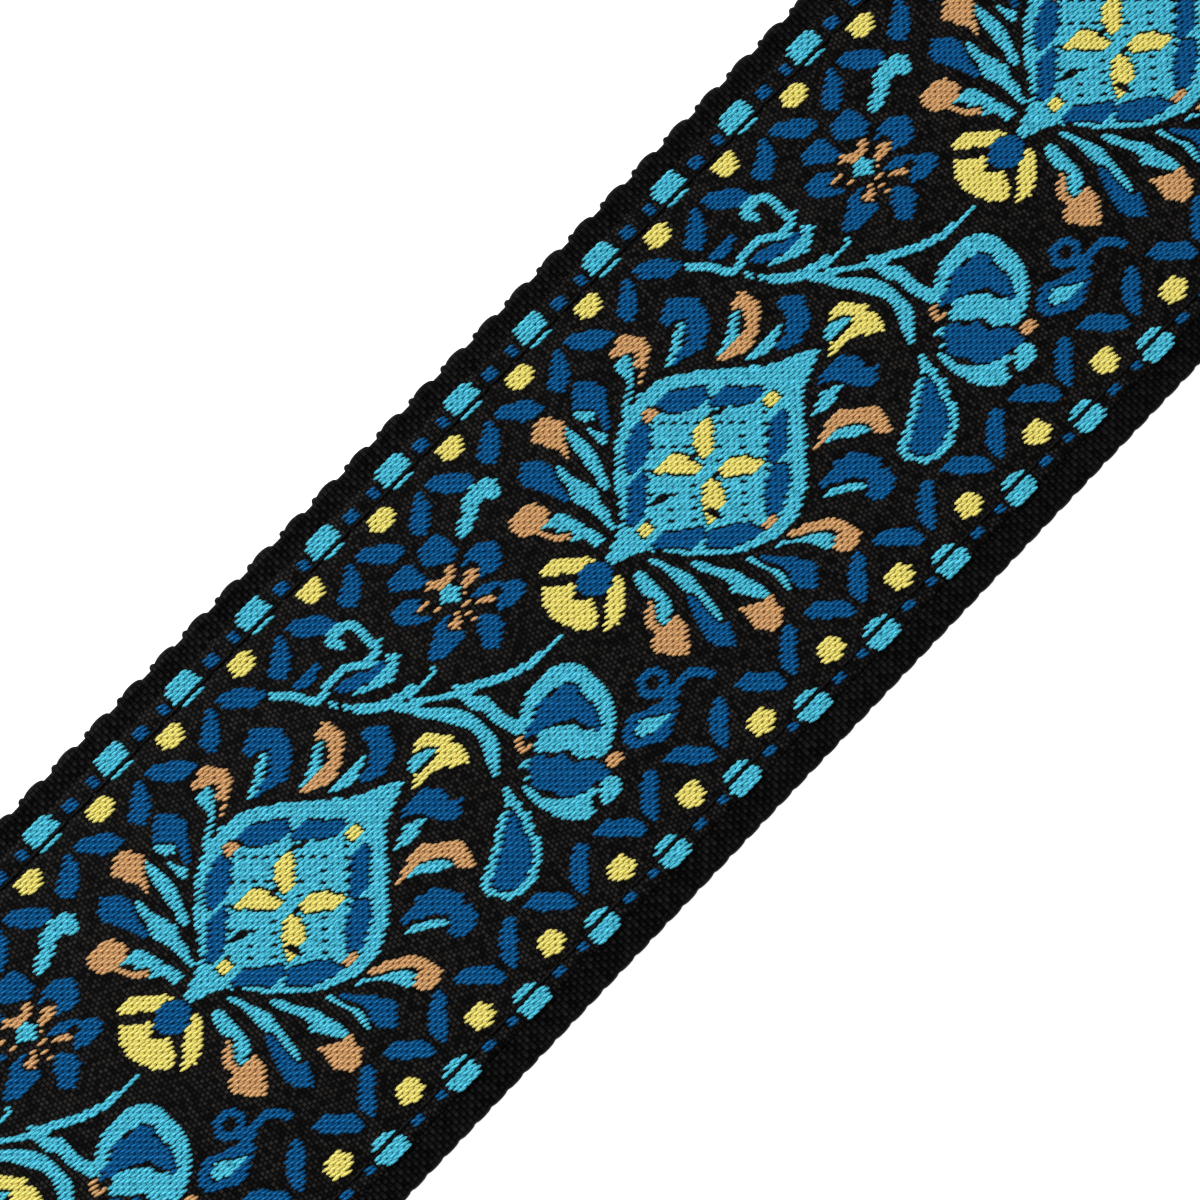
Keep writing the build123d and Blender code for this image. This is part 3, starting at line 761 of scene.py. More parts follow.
def smooth_line(points, closed, steps=6):
    """Smooth line through given points."""
    here = np.array(points, float)
    if closed:
        before, after, later = (np.roll(here, k, 0) for k in (1, -1, -2))
    else:
        padded = np.vstack([2 * here[0] - here[1], here, 2 * here[-1] - here[-2]])
        before, here, after, later = padded[:-3], padded[1:-2], padded[2:-1], padded[3:]
    t = np.linspace(0, 1, steps, endpoint=False)[:, None, None]
    bow = 2 * before - 5 * here + 4 * after - later
    twist = 3 * here - before - 3 * after + later
    curve = 0.5 * (2 * here + (after - before) * t + bow * t**2 + twist * t**3)
    curve = curve.transpose(1, 0, 2).reshape(-1, 2)
    return curve if closed else np.vstack([curve, after[-1]])


class Cloth:
    """One repeat of the pattern: the colour that each lane of thread shows at each place."""

    def __init__(self):
        first = int(np.ceil((RIBBON_LOW_Y - STITCH_ROWS[0]) / PITCH + 0.5))
        last = int(np.floor((RIBBON_HIGH_Y - STITCH_ROWS[0]) / PITCH - 0.5))
        self.lanes = STITCH_ROWS[0] + np.arange(first, last + 1) * PITCH
        self.colour = np.zeros((len(self.lanes), round(REPEAT / GRAIN)), int)
        self.ragged = np.random.default_rng(5)
        for colour, points, *widths in motifs():
            number = COLOURS.index(colour)
            if widths:
                self.stroke(number, points, widths[0])
            else:
                self.fill(number, smooth_line(points, closed=True))
        self.tie_down()
        for row in STITCH_ROWS:
            self.colour[np.abs(self.lanes - row) < PITCH / 2] = 0

    def tie_down(self):
        """Short gaps in slanting rows, where the ground ties down the medallion's turquoise floats."""
        turquoise = COLOURS.index("turquoise")
        spacing = 3.2
        gap = 0.15
        for lane, y in enumerate(self.lanes - PATTERN_MIDDLE_Y):
            reach = 9.5 - 1.1 * abs(y)
            if lane % 2 == 0 and reach > 0:
                for x in np.arange(-reach + spacing / 4 * lane % spacing, reach, spacing):
                    if self.colour[lane, round(x / GRAIN)] == turquoise:
                        self.paint(lane, x, x + gap, 0)

    def paint(self, lane, start, end, number):
        """Paint one lane from start to end, going round to the next repeat."""
        places = np.arange(round(start / GRAIN), round(end / GRAIN)) % self.colour.shape[1]
        self.colour[lane, places] = number

    def fill(self, number, outline):
        """Fill a closed outline, lane by lane, with ragged ends where it is wide."""
        ahead = np.roll(outline, -1, 0)
        for lane, y in enumerate(self.lanes - PATTERN_MIDDLE_Y):
            cuts = (outline[:, 1] > y) != (ahead[:, 1] > y)
            a, b = outline[cuts], ahead[cuts]
            xs = np.sort(a[:, 0] + (y - a[:, 1]) / (b[:, 1] - a[:, 1]) * (b[:, 0] - a[:, 0]))
            for start, end in zip(xs[::2], xs[1::2]):
                outer = self.ragged.uniform(-0.2, 0.2, 2) if end - start > 2 else (0, 0)
                self.paint(lane, start - outer[0], end + outer[1], number)

    def stroke(self, number, points, widths):
        """Paint a line of varying width as a row of discs."""
        line = smooth_line(points, closed=False, steps=24)
        share = np.linspace(0, 1, len(line))
        radii = np.interp(share, np.linspace(0, 1, len(widths)), widths) / 2
        for (x, y), radius in zip(line, radii):
            near = np.flatnonzero(np.abs(self.lanes - PATTERN_MIDDLE_Y - y) < radius)
            for lane in near:
                reach = (radius**2 - (self.lanes[lane] - PATTERN_MIDDLE_Y - y) ** 2) ** 0.5
                self.paint(lane, x - reach - 0.1, x + reach + 0.1, number)

    def runs(self, s_start, s_end, s_zero):
        """Every stretch of pattern thread: lane y, start, end and colour number."""
        places = np.arange(s_start, s_end, GRAIN)
        index = np.floor((places - s_zero) / GRAIN).astype(int) % self.colour.shape[1]
        found = []
        for lane, y in enumerate(self.lanes):
            row = self.colour[lane, index]
            edges = np.flatnonzero(np.diff(row)) + 1
            starts = np.r_[0, edges]
            ends = np.r_[edges, len(row)]
            shown = (row[starts] > 0) & (ends - starts > SHORTEST_RUN / GRAIN)
            found.append(np.stack([np.full(shown.sum(), y), places[starts[shown]],
                                   places[ends[shown] - 1] + GRAIN, row[starts[shown]]], -1))
        return np.concatenate(found)


def floats(runs, pitch):
    """Divide each run of thread into short floats, half a float out of step from lane to lane."""
    chance = np.random.default_rng(7)
    lanes = np.round((runs[:, 0] - STITCH_ROWS[0]) / PITCH)
    found = []
    for (y, start, end, number), lane in zip(runs, lanes):
        offset = 0.5 * (lane % 2)
        first = np.ceil((start + TIP) / pitch - offset)
        last = np.floor((end - TIP) / pitch - offset)
        inner = (np.arange(first, last + 1) + offset) * pitch
        inner += chance.normal(0, 0.07 * pitch, len(inner))
        starts = np.r_[start, inner - OVERLAY]
        ends = np.r_[inner + OVERLAY, end]
        found.append(np.stack([np.full(len(ends), y), starts, ends, np.full(len(ends), number)], -1))
    return np.concatenate(found)


def thread_mesh(name, spans, fine, colour):
    """Raised floats of one colour: slanting lens-shaped cords that overlap end to end."""
    t = np.array((0, 0.14, 0.36, 0.64, 0.86, 1) if fine else (0, 0.3, 0.7, 1))[None, :, None]
    v = np.array((-1, -0.62, 0, 0.62, 1) if fine else (-1, 0, 1))[None, None]
    y, start, end = (spans[:, k, None, None] for k in (0, 1, 2))
    chance = np.random.default_rng(len(spans))
    rise = THREAD_RISE * chance.uniform(0.8, 1.2, (len(spans), 1, 1))
    length = end - start
    girth = np.sin(pi * (0.04 + 0.92 * t)) ** 0.55
    lean = 1 - 2 * t
    ys = y + SLANT * length * lean + (v + 0.4 * lean * (1 - v**2)) * PLUMPNESS * PITCH * girth
    h = THREAD_FOOT + rise * girth * np.sqrt(1 - 0.98 * v**2)
    s = np.broadcast_to(start + length * t, ys.shape)
    s, ys, h = (a.reshape(-1, a.shape[-1]) for a in (s, ys, h))
    counts = np.full(len(spans), t.size)
    return tubes(name, STRAP.place(s, ys, h), counts, np.stack([s, ys], -1), colour)


# ---------------------------------------------------------------- webbing and ribbon


def lumps(s, period, centre, width, height):
    """Round bumps that repeat along the strap."""
    gap = (s - centre + period / 2) % period - period / 2
    return height * np.sqrt(np.clip(1 - (2 * gap / width) ** 2, 0, None))


def upper_edge(s):
    """How far the webbing's upper edge stands out: a large loop and a small one in turn."""
    return 0.36 + np.maximum(lumps(s, 4.36, 0.55, 2.6, 0.46), lumps(s, 4.36, -0.95, 0.8, 0.4))


def lower_edge(s):
    """How far the webbing's lower edge stands out: even, shallow loops."""
    return 0.07 + lumps(s, 2.12, 0.0, 1.8, 0.13)


def webbing_ring(s, width, top, bottom, rim, rib_length=2 * RIB):
    """Cross-section of webbing at each s: y and h of a closed loop, with a ribbed margin."""
    edge = width / 2 - 0.30
    middle = (top + bottom) / 2
    half = (top - bottom) / 2
    arc = np.linspace(-pi / 2, pi / 2, 7)
    s = s[:, None]

    def ribs(y):
        row = np.floor(s / rib_length) % 2
        along = np.abs(np.sin(pi * s / rib_length)) ** 0.6
        over = np.abs(np.sin(pi * (y / YARN + 0.5 * row))) ** 0.5
        return top + 0.20 * along * over - 0.13

    def round_edge(arc, proud):
        return edge + np.cos(arc) * (0.28 + proud), middle + np.sin(arc) * half * (1 + 0.1 * proud)

    margin = (edge - np.arange(0.0, rim, 0.14) - 0.06)[None]
    under = np.linspace(-edge + 2.0, edge - 2.0, 9)[None]
    upper_y, upper_h = round_edge(arc, upper_edge(s))
    lower_y, lower_h = round_edge(arc[::-1], lower_edge(s))
    across = [upper_y, margin, -margin[:, ::-1], -lower_y, under]
    heights = [upper_h, ribs(margin), ribs(-margin[:, ::-1]), lower_h, np.full_like(under, bottom)]

    def loop(parts):
        return np.hstack([np.broadcast_to(part, (len(s), part.shape[1])) for part in parts])

    return loop(across), loop(heights)


def ribbon_ring(s):
    """Cross-section of the ribbon: a thin slab with soft edges, pressed down by the stitching."""
    inner = np.linspace(RIBBON_LOW_Y, RIBBON_HIGH_Y, 120)
    sink = np.zeros_like(inner)
    for row in STITCH_ROWS:
        sink += 0.10 * np.exp(-(((inner - row) / 0.35) ** 2))
    edge = np.minimum(inner - RIBBON_LOW_Y, RIBBON_HIGH_Y - inner)
    roll = np.sqrt(np.clip(1 - (1 - np.clip(edge / 0.5, 0, 1)) ** 2, 0, 1))
    bottom = BOND - 0.12
    top = bottom + 0.1 + (GROUND_TOP - bottom - 0.1) * roll - sink
    y = np.r_[inner, RIBBON_HIGH_Y, RIBBON_LOW_Y]
    h = np.r_[top, bottom, bottom]
    return np.broadcast_to(y, (len(s), len(y))), np.broadcast_to(h, (len(s), len(h)))


def swept(name, path, s, ring, material_used):
    """A band with a cross-section at each s along a path."""
    y, h = ring
    s = np.broadcast_to(s[:, None], y.shape)
    return tubes(name, path.place(s, y, h), np.array([len(s)]), np.stack([s, y], -1), material_used)


# ---------------------------------------------------------------- stitches


def stitches(name, starts, ends, up, radius, rise):
    """Short thread loops that come up at each start, lie on the surface and go down at each end."""
    starts, ends, up = (np.asarray(a, float) for a in (starts, ends, up))
    along = np.linspace(0, 1, 9)
    lift = np.sin(pi * along) ** 0.5 * rise - radius * 0.7
    girth = radius * (0.45 + 0.55 * np.sin(pi * along) ** 0.5)
    turn = np.linspace(0, 2 * pi, 8, endpoint=False)
    ahead = ends - starts
    length = np.linalg.norm(ahead, axis=1, keepdims=True)
    side = np.cross(up, ahead / length)
    centre = starts[:, None] + ahead[:, None] * along[None, :, None] + up[:, None] * lift[None, :, None]
    spoke = side[:, None] * np.cos(turn)[None, :, None] + up[:, None] * np.sin(turn)[None, :, None]
    rings = centre[:, :, None] + spoke[:, None] * girth[None, :, None, None]
    rings = rings.reshape(-1, len(turn), 3)
    counts = np.full(len(starts), len(along))
    u = along[None, :, None] * length[:, :, None] * np.ones((1, 1, len(turn)))
    w = np.broadcast_to((turn * radius)[None, None], u.shape)
    uv = np.stack([u, w], -1).reshape(-1, len(turn), 2)
    return tubes(name, rings * MM, counts, uv, SEWING)


def strap_stitches(name, s_start, s_end):
    """Both edge stitching rows between two distances along the strap."""
    needle = s_at(PATTERN_X) - STITCH_PHASE
    first = int(np.ceil((s_start - needle) / STITCH))
    last = int(np.floor((s_end - needle) / STITCH))
    s = needle + np.arange(first, last) * STITCH
    gap = 0.12
    starts, ends, ups = [], [], []
    for row in STITCH_ROWS:
        starts.append(STRAP.place(s + gap, row, GROUND_TOP + 0.12) / MM)
        ends.append(STRAP.place(s + STITCH - gap, row, GROUND_TOP + 0.12) / MM)
        over = STRAP.place(s + STITCH / 2, row, GROUND_TOP + 1.0) / MM
        under = STRAP.place(s + STITCH / 2, row, GROUND_TOP) / MM
        ups.append(over - under)
    return stitches(name, np.vstack(starts), np.vstack(ends), np.vstack(ups), 0.14, 0.13)


def flat_stitches(name, starts, ends, radius, rise):
    """Stitches on a level surface, between points with x, y and z."""
    up = np.tile([0.0, 0.0, 1.0], (len(starts), 1))
    return stitches(name, starts, ends, up, radius, rise)


def settle(piece, body, cad_node):
    """Let a piece ride on a body, in the place of a CAD node, which is hidden."""
    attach(piece, body)
    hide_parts(cad_node)


# ---------------------------------------------------------------- leather ends

LEATHER_THICK = high("leather_tail_bottom", "z")
LEATHER_LENGTH = high("leather_tail_bottom", "x") - low("leather_tail_bottom", "x")
LEATHER_HALF_WIDTH = high("leather_tail_bottom", "y")
SHOULDER = 50.0
CORNER_RADIUS = 5.0
TIP_RADIUS = 15.0
OVERLAP = 45.0
LEATHER_STEP_RUN = 12.0
HOLE_AT = LEATHER_LENGTH - 14.0
HOLE_RADIUS = 3.5
SLIT_LENGTH = 9.0
SLIT_WIDTH = 0.8
SEAM_INSET = 3.4
STITCH_LENGTH = 3.0
STITCH_GAP = 0.07
BOX_INSET = 6.4
BOX_WIDTH = 35.2
TAIL_THICK = 1.4
TAIL_GAP = 0.1


def rays(turn):
    """Unit vectors at each angle."""
    return np.stack([np.cos(turn), np.sin(turn)], -1)


def leather_circles():
    """The circles that the leather's outline goes round: x, y and radius."""
    circles = [(LEATHER_LENGTH - TIP_RADIUS, 0.0, TIP_RADIUS)]
    for x in (CORNER_RADIUS, SHOULDER - CORNER_RADIUS):
        for side in (-1, 1):
            circles.append((x, side * (LEATHER_HALF_WIDTH - CORNER_RADIUS), CORNER_RADIUS))
    return np.array(circles)


def leather_distance(points):
    """How far each x, y is inside the leather's outline, and outside its button hole and slit."""
    spread = rays(np.linspace(0, 2 * pi, 360, endpoint=False))
    circles = leather_circles()
    reach = (spread @ circles[:, :2].T + circles[:, 2]).max(1)
    outline = (reach - points @ spread.T).min(1)
    hole = np.hypot(points[:, 0] - HOLE_AT, points[:, 1]) - HOLE_RADIUS
    slit_x = np.clip(points[:, 0], HOLE_AT - HOLE_RADIUS - SLIT_LENGTH, HOLE_AT)
    slit = np.hypot(points[:, 0] - slit_x, points[:, 1]) - SLIT_WIDTH / 2
    return outline, np.minimum(hole, slit)


def leather_line(inset, spacing):
    """Points round the leather's outline, drawn in by so much, with even spacing."""
    spread = rays(np.linspace(0, 2 * pi, 720, endpoint=False))
    circles = leather_circles() - (0.0, 0.0, inset)
    farthest = circles[(spread @ circles[:, :2].T + circles[:, 2]).argmax(1)]
    line = farthest[:, :2] + spread * farthest[:, 2:]
    return even_line(np.vstack([line, line[:1]]), spacing)


def even_line(line, spacing):
    """The same closed line with evenly spaced points, without repeating the first."""
    gaps = np.linalg.norm(np.diff(line, axis=0), axis=1)
    s = np.r_[0, np.cumsum(gaps)]
    count = max(8, round(s[-1] / spacing))
    wanted = np.linspace(0, s[-1], count, endpoint=False)
    return np.stack([np.interp(wanted, s, line[:, k]) for k in range(line.shape[1])], -1)


def hole_line(clearance):
    """Points round the button hole and its slit, at a distance outside them."""
    radius = HOLE_RADIUS + clearance
    half = SLIT_WIDTH / 2 + clearance
    opening = np.arcsin(half / radius)
    circle = (HOLE_AT, 0) + radius * rays(np.linspace(-pi + opening, pi - opening, 40))
    end = HOLE_AT - HOLE_RADIUS - SLIT_LENGTH
    tip = (end, 0) + half * rays(np.linspace(pi / 2, 3 * pi / 2, 9))
    return even_line(np.vstack([circle, tip, circle[:1]]), 0.35)


def leather_plan():
    """Flat triangulation of a leather ply, finer at its edges and seam."""
    insets = (0.0, 0.12, 0.35, 0.7, 1.2, 2.2, 2.9, 3.4, 3.9, 4.6)
    clearances = (0.0, 0.12, 0.35, 0.8)
    loops = [leather_line(inset, 0.9) for inset in insets]
    loops += [hole_line(clearance) for clearance in clearances]
    along = np.arange(0, LEATHER_LENGTH, 1.4)
    across = np.arange(-LEATHER_HALF_WIDTH, LEATHER_HALF_WIDTH, 1.4)
    grid = np.stack(np.meshgrid(along, across), -1).reshape(-1, 2)
    outline, hole = leather_distance(grid)
    grid = grid[(outline > insets[-1] + 0.6) & (hole > clearances[-1] + 0.6)]
    points, edges = [], []
    for loop in loops:
        first = sum(len(p) for p in points)
        index = np.arange(first, first + len(loop))
        edges += list(zip(index.tolist(), np.roll(index, -1).tolist()))
        points.append(loop)
    points.append(grid)
    flat = np.vstack(points)
    made = delaunay_2d_cdt([Vector(p) for p in flat.tolist()], edges, [], 0, 1e-6)
    flat = np.array([tuple(p) for p in made[0]])
    faces = np.array([list(face) for face in made[2]])
    middle = flat[faces].mean(1)
    outline, hole = leather_distance(middle)
    faces = faces[(outline > 1e-3) & (hole > -1e-3)]
    a, b, c = (flat[faces[:, k]] for k in range(3))
    clockwise = (b[:, 0] - a[:, 0]) * (c[:, 1] - a[:, 1]) < (b[:, 1] - a[:, 1]) * (c[:, 0] - a[:, 0])
    faces[clockwise] = faces[clockwise][:, ::-1]
    used = np.unique(faces)
    order = np.full(len(flat), -1)
    order[used] = np.arange(len(used))
    return flat[used], order[faces]


def top_level(x, filling):
    """Middle of the top ply: over the filling, then down onto the bottom ply."""
    step = np.clip((x - OVERLAP - 1.0) / LEATHER_STEP_RUN, 0, 1)
    return 1.5 * LEATHER_THICK + filling * (1 - step * step * (3 - 2 * step))


def leather_ply(name, place, filling, is_top):
    """One ply, with rounded edges and a groove along its seam."""
    flat, faces = leather_plan()
    outline, hole = leather_distance(flat)
    edge = np.clip(np.minimum(outline, hole), 0, None)
    half = LEATHER_THICK / 2
    bevel = 0.7
    rounding = np.sqrt(np.clip(1 - (1 - np.clip(edge / bevel, 0, 1)) ** 2, 0, 1))
    groove = 0.16 * np.exp(-(((outline - SEAM_INSET) / 0.45) ** 2))
    middle = top_level(flat[:, 0], filling) if is_top else np.full(len(flat), half)
    outer = half * (0.35 + 0.65 * rounding) - groove
    inner = half * (0.55 + 0.45 * rounding)
    above, below = (outer, inner) if is_top else (inner, outer)
    top = np.column_stack([flat, middle + above])
    bottom = np.column_stack([flat, middle - below])
    count = len(flat)
    sides = np.concatenate([faces[:, [0, 1]], faces[:, [1, 2]], faces[:, [2, 0]]])
    keys = sides[:, 0] * count + sides[:, 1]
    rim = sides[~np.isin(keys, sides[:, 1] * count + sides[:, 0])]
    wall = np.stack([rim[:, 0] + count, rim[:, 1] + count, rim[:, 1], rim[:, 0]], -1)
    points = np.vstack([top, bottom])
    triangles = [faces, faces[:, ::-1] + count]
    if place.mirrored:
        triangles = [t[:, ::-1] for t in triangles]
        wall = wall[:, ::-1]
    return new_piece(name, place(points) * MM, triangles + [wall], points[:, :2], LEATHER)


class LeatherPlace:
    """Where a leather end goes: its inner edge's x, and which way its tip points."""

    def __init__(self, inner_x, sense):
        self.inner_x = inner_x
        self.sense = sense
        self.mirrored = sense < 0

    def __call__(self, points):
        moved = points.copy()
        moved[:, 0] = self.inner_x + self.sense * points[:, 0]
        return moved


def box_lines(length, width, middle_x):
    """Corner-to-corner lines of a sewn box with a cross in it."""
    x = middle_x + np.array([-length, length, length, -length]) / 2
    y = np.array([-width, -width, width, width]) / 2
    corners = np.stack([x, y], -1)
    pairs = [(0, 1), (1, 2), (2, 3), (3, 0), (0, 2), (1, 3)]
    return [(corners[a], corners[b]) for a, b in pairs]


def line_stitches(lines):
    """Starts and ends of stitches that divide each line evenly."""
    starts, ends = [], []
    for a, b in lines:
        count = max(1, round(np.linalg.norm(b - a) / STITCH_LENGTH))
        spots = a + (b - a) * np.linspace(0, 1, count + 1)[:, None]
        starts.append(spots[:-1])
        ends.append(spots[1:])
    return np.vstack(starts), np.vstack(ends)


def leather_stitches(name, starts, ends, place, filling, sunk):
    """Stitches between x, y points on the top ply, sunk by so much."""
    gap = (ends - starts) * STITCH_GAP
    level = 0.5 * LEATHER_THICK - sunk

    def lifted(points):
        return place(np.column_stack([points, top_level(points[:, 0], filling) + level]))

    return flat_stitches(name, lifted(starts + gap), lifted(ends - gap), 0.34, 0.30)


def leather_end(end, body, place, filling):
    """Both plies and both seams of a leather end, riding on a body."""
    outline = leather_line(SEAM_INSET, STITCH_LENGTH)
    edge = outline, np.roll(outline, -1, 0)
    box = line_stitches(box_lines(OVERLAP - 2 * BOX_INSET, BOX_WIDTH, OVERLAP / 2))
    top = leather_ply(f"leather_{end}_upper_ply", place, filling, True)
    bottom = leather_ply(f"leather_{end}_lower_ply", place, filling, False)
    edge_seam = leather_stitches(f"{end}_edge_seam", *edge, place, filling, 0.08)
    box_seam = leather_stitches(f"{end}_box_seam", *box, place, filling, 0.02)
    settle(top, body, f"leather_{end}_top")
    settle(bottom, body, f"leather_{end}_bottom")
    settle(edge_seam, body, f"{end}_perimeter_stitching")
    settle(box_seam, body, f"{end}_box_stitching")


# ---------------------------------------------------------------- the strap, section by section


class Section:
    """A stretch of strap: its span along the strap, and the body it follows or the two bodies at its ends.
    """

    def __init__(self, name, start, end, bodies, bend=None, nodes=(), fine=False):
        self.name = name
        self.start = start
        self.end = end
        self.bodies = bodies
        self.bend = bend
        self.nodes = nodes
        self.fine = fine

    def hold(self, piece, slot_name):
        """Let a piece ride on the section's body; a piece of a bending section is left fixed where it was
        made.
        """
        if self.bend:
            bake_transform(piece)
        else:
            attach(piece, *self.bodies)


def sections():
    """The strap from the front leather to the sewn flap."""
    view_start = VIEW_X - VIEW_HALF_LENGTH
    view_end = VIEW_X + VIEW_HALF_LENGTH
    seam_s = s_under(SEAM_X)
    return [
        Section("front", 0.0, s_at(TABLE_X), ("front_tab", "strap"),
                (HINGE_X - FRONT_GAP, HINGE_X + FRONT_GAP), ("front_end", "front_ramp")),
        Section("run_start", s_at(TABLE_X), s_at(view_start), ("strap",), nodes=("front_run",)),
        Section("run_middle", s_at(view_start), s_at(view_end), ("strap",), fine=True),
        Section("run_end", s_at(view_end), s_at(CLIMB_X), ("strap",)),
        Section("climb", s_at(CLIMB_X), s_at(CLIMB_X + CLIMB_RUN), ("strap",), nodes=("adjuster_run",)),
        Section("adjuster", s_at(CLIMB_X + CLIMB_RUN), s_at(FOLD_X), ("strap", "ring_fold"),
                (CLIMB_X + CLIMB_RUN, FOLD_X)),
        Section("ring_fold", s_at(FOLD_X), s_under(FOLD_X), ("ring_fold",), nodes=("ring_fold",)),
        Section("foldback", s_under(FOLD_X), seam_s, ("strap", "slider"), (2 * FOLD_X - SEAM_X, SEAM_X),
                ("foldback_run",)),
        Section("slider_wrap", seam_s, STRAP.length, ("slider",), nodes=("slider_wrap",)),
    ]


def stations(section, step):
    """Evenly spaced distances along a section."""
    count = max(2, round((section.end - section.start) / step) + 1)
    return np.linspace(section.start, section.end, count)


def strap_bands(section):
    """Webbing, ribbon and edge stitches of a section."""
    rib_length = RIB if section.fine else 2 * RIB
    s = stations(section, rib_length / (4 if section.fine else 2.5))
    ring = webbing_ring(s, 2 * HALF_WIDTH, BOND + 0.14, -HALF_THICK, MARGIN, rib_length)
    webbing = swept(f"webbing_{section.name}_band", STRAP, s, ring, WEBBING)
    s = stations(section, 1.0)
    ribbon = swept(f"ribbon_{section.name}_band", STRAP, s, ribbon_ring(s), GROUND)
    thread = strap_stitches(f"{section.name}_edge_stitches", section.start, section.end)
    kinds = (("webbing", webbing, "webbing"), ("ribbon", ribbon, "jacquard_ribbon"),
             ("edge_stitching", thread, "thread"))
    for kind, piece, slot_name in kinds:
        section.hold(piece, slot_name)
        for cad_section in section.nodes:
            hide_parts(f"{kind}_{cad_section}")
    return webbing, ribbon


def pattern_threads(section, runs):
    """Raised pattern threads of a section, in pieces of a limited length and one colour each."""
    near = (runs[:, 2] > section.start - 9) & (runs[:, 1] < section.end + 9)
    spans = floats(runs[near], FLOAT if section.fine else 2 * FLOAT)
    middle = (spans[:, 1] + spans[:, 2]) / 2
    longest = LONGEST_FINE_PIECE if section.fine else LONGEST_PIECE
    count = int(np.ceil((section.end - section.start) / longest))
    cuts = np.linspace(section.start, section.end, count + 1)
    made = []
    for part, (start, end) in enumerate(zip(cuts[:-1], cuts[1:]), 1):
        for number, colour in enumerate(COLOURS[1:], 1):
            mine = spans[(middle >= start) & (middle < end) & (spans[:, 3] == number)]
            if len(mine):
                name = f"pattern_{section.name}_{part}_{colour}"
                piece = thread_mesh(name, mine, section.fine, THREADS[colour])
                section.hold(piece, "jacquard_ribbon")
                made.append(piece)
    return made


def strap():
    """Every section's webbing, ribbon, edge stitches and pattern."""
    runs = Cloth().runs(HINGE_X - FRONT_GAP - FRONT_END_X, STRAP.length - 0.5, s_at(PATTERN_X))
    for section in sections():
        webbing, ribbon = strap_bands(section)
        threads = pattern_threads(section, runs)


# ---------------------------------------------------------------- tail loop, slider and ring


def tail_loop():
    """Plain webbing, doubled round the ring's far bar and sewn into the tail leather."""
    step_run = 9.0
    leg = OVERLAP + 1.0
    radius = RING_LEVEL - 2 * HALF_THICK + TAIL_THICK / 2
    low_level = LEATHER_THICK + TAIL_THICK / 2
    high_level = low_level + TAIL_THICK + TAIL_GAP
    moves = straight(leg)
    moves += sway(high_level - RING_LEVEL - radius, step_run)
    moves += bend(radius, pi)
    moves += sway(low_level - RING_LEVEL + radius, step_run)
    moves += straight(leg)
    path = Path(FAR_BAR_X + step_run + leg, high_level, pi, moves)
    s = np.linspace(0, path.length, round(path.length / 0.4))
    width = high("tail_webbing_loop", "y") * 2
    ring = webbing_ring(s, width - 0.4, -TAIL_THICK / 2, TAIL_THICK / 2, 24.0)
    piece = swept("tail_loop_band", path, s, ring, WEBBING)
    settle(piece, "tail", "tail_webbing_loop")


def flap_stitches():
    """Box seam that holds the strap's end down after it has gone round the slider."""
    middle = WRAP_X + BAR_FLAT + FLAP_STEP_RUN + FLAP_LENGTH / 2
    starts, ends = line_stitches(box_lines(FLAP_LENGTH - 6.8, BOX_WIDTH, middle))
    gap = (ends - starts) * STITCH_GAP
    level = np.full(len(starts), FLAP_LEVEL + HALF_THICK + 0.05)
    starts = np.column_stack([starts + gap, level])
    ends = np.column_stack([ends - gap, level])
    piece = flat_stitches("slider_flap_seam", starts, ends, 0.32, 0.32)
    settle(piece, "slider", "slider_flap_stitching")


def repaint(cad_node, finish):
    """Give a CAD node its material."""
    obj = frame["nodes"][cad_node]
    obj.data.materials.clear()
    obj.data.materials.append(finish)


# ---------------------------------------------------------------- camera, light and floor


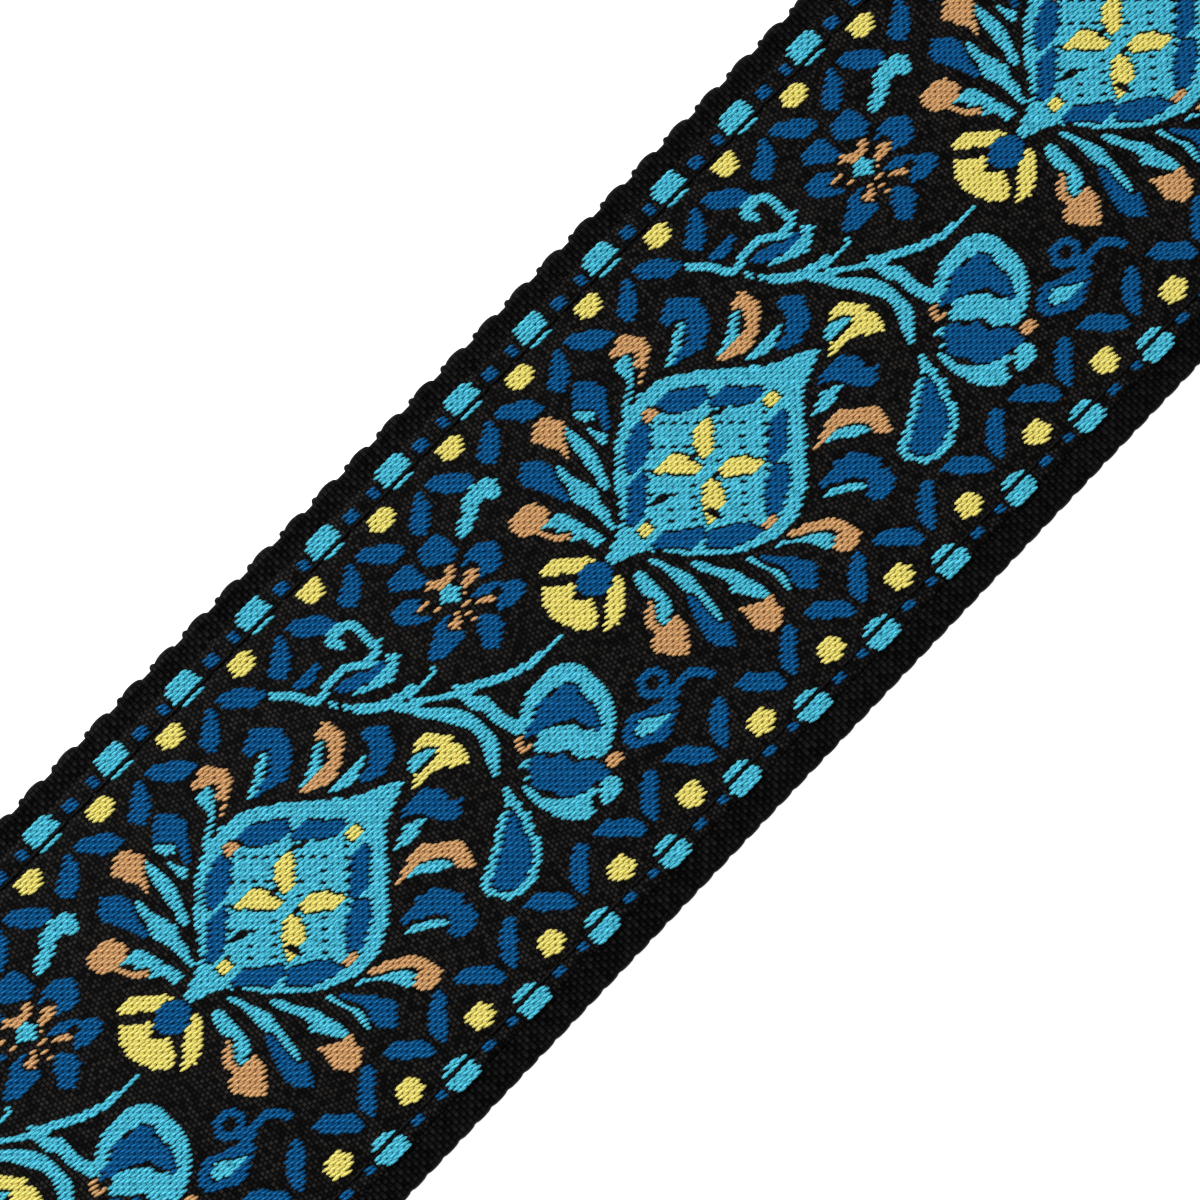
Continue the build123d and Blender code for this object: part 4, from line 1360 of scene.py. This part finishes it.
def camera():
    """85 mm lens over the middle of the front run, turned so that the strap runs up to the right."""
    target = Vector((VIEW_X, -0.26, 2 * HALF_THICK)) * MM
    distance = 264.4 * MM
    lean_x, lean_y = -radians(3.51), -radians(5.3)
    back = Vector((sin(lean_x), sin(lean_y), 0))
    back.z = (1 - back.x**2 - back.y**2) ** 0.5
    along = Vector((1, 0, 0)) - back * back.x
    along.normalize()
    across = back.cross(along)
    turn = radians(46.1)
    right = along * cos(turn) - across * sin(turn)
    up = along * sin(turn) + across * cos(turn)
    data = bpy.data.cameras.new("camera")
    data.lens = 85
    data.sensor_width = 36
    data.clip_start = 0.01
    data.clip_end = 50
    made = bpy.data.objects.new("camera", data)
    axes = Matrix((right, up, back)).transposed().to_4x4()
    made.matrix_world = Matrix.Translation(target + back * distance) @ axes
    scene.collection.objects.link(made)
    scene.camera = made


def softbox(name, x, y, z, size, power):
    """Square area light that faces the middle of the view."""
    data = bpy.data.lights.new(name, "AREA")
    data.size = size
    data.energy = power
    made = bpy.data.objects.new(name, data)
    middle = Vector((VIEW_X * MM, 0, 0))
    made.location = middle + Vector((x, y, z))
    made.rotation_euler = (-Vector((x, y, z))).to_track_quat("-Z", "Y").to_euler()
    scene.collection.objects.link(made)


def studio():
    """White floor, an even pale surround and two softboxes."""
    world = bpy.data.worlds.new("surround")
    scene.world = world
    world.use_nodes = True
    surround = world.node_tree.nodes["Background"]
    surround.inputs["Color"].default_value = (1, 1, 1, 1)
    surround.inputs["Strength"].default_value = 0.17
    softbox("key_light", -0.3, 0.9, 1.2, 0.6, 29)
    softbox("fill_light", 0.7, -0.8, 1.4, 1.2, 9)
    mesh = bpy.data.meshes.new("floor")
    reach = 6.0
    level = -0.2 * MM
    corners = ((-reach, -reach), (reach, -reach), (reach, reach), (-reach, reach))
    mesh.from_pydata([(x, y, level) for x, y in corners], [], [(0, 1, 2, 3)])
    floor = bpy.data.objects.new("floor", mesh)
    scene.collection.objects.link(floor)
    finish, _, shader = material("white_floor", 0.9)
    shader.inputs["Base Color"].default_value = (0.92, 0.92, 0.92, 1)
    shader.inputs["Emission Color"].default_value = (1, 1, 1, 1)
    shader.inputs["Emission Strength"].default_value = 0.75
    mesh.materials.append(finish)
    scene.view_settings.view_transform = "Standard"


camera()
studio()
strap()
tail_loop()
flap_stitches()
leather_end("front", "front_tab", LeatherPlace(high("leather_front_bottom", "x"), -1), 2 * HALF_THICK)
leather_end("tail", "tail", LeatherPlace(low("leather_tail_bottom", "x"), 1), 2 * TAIL_THICK + TAIL_GAP)
repaint("tri_glide", PLASTIC)
repaint("rectangular_ring", PLASTIC)
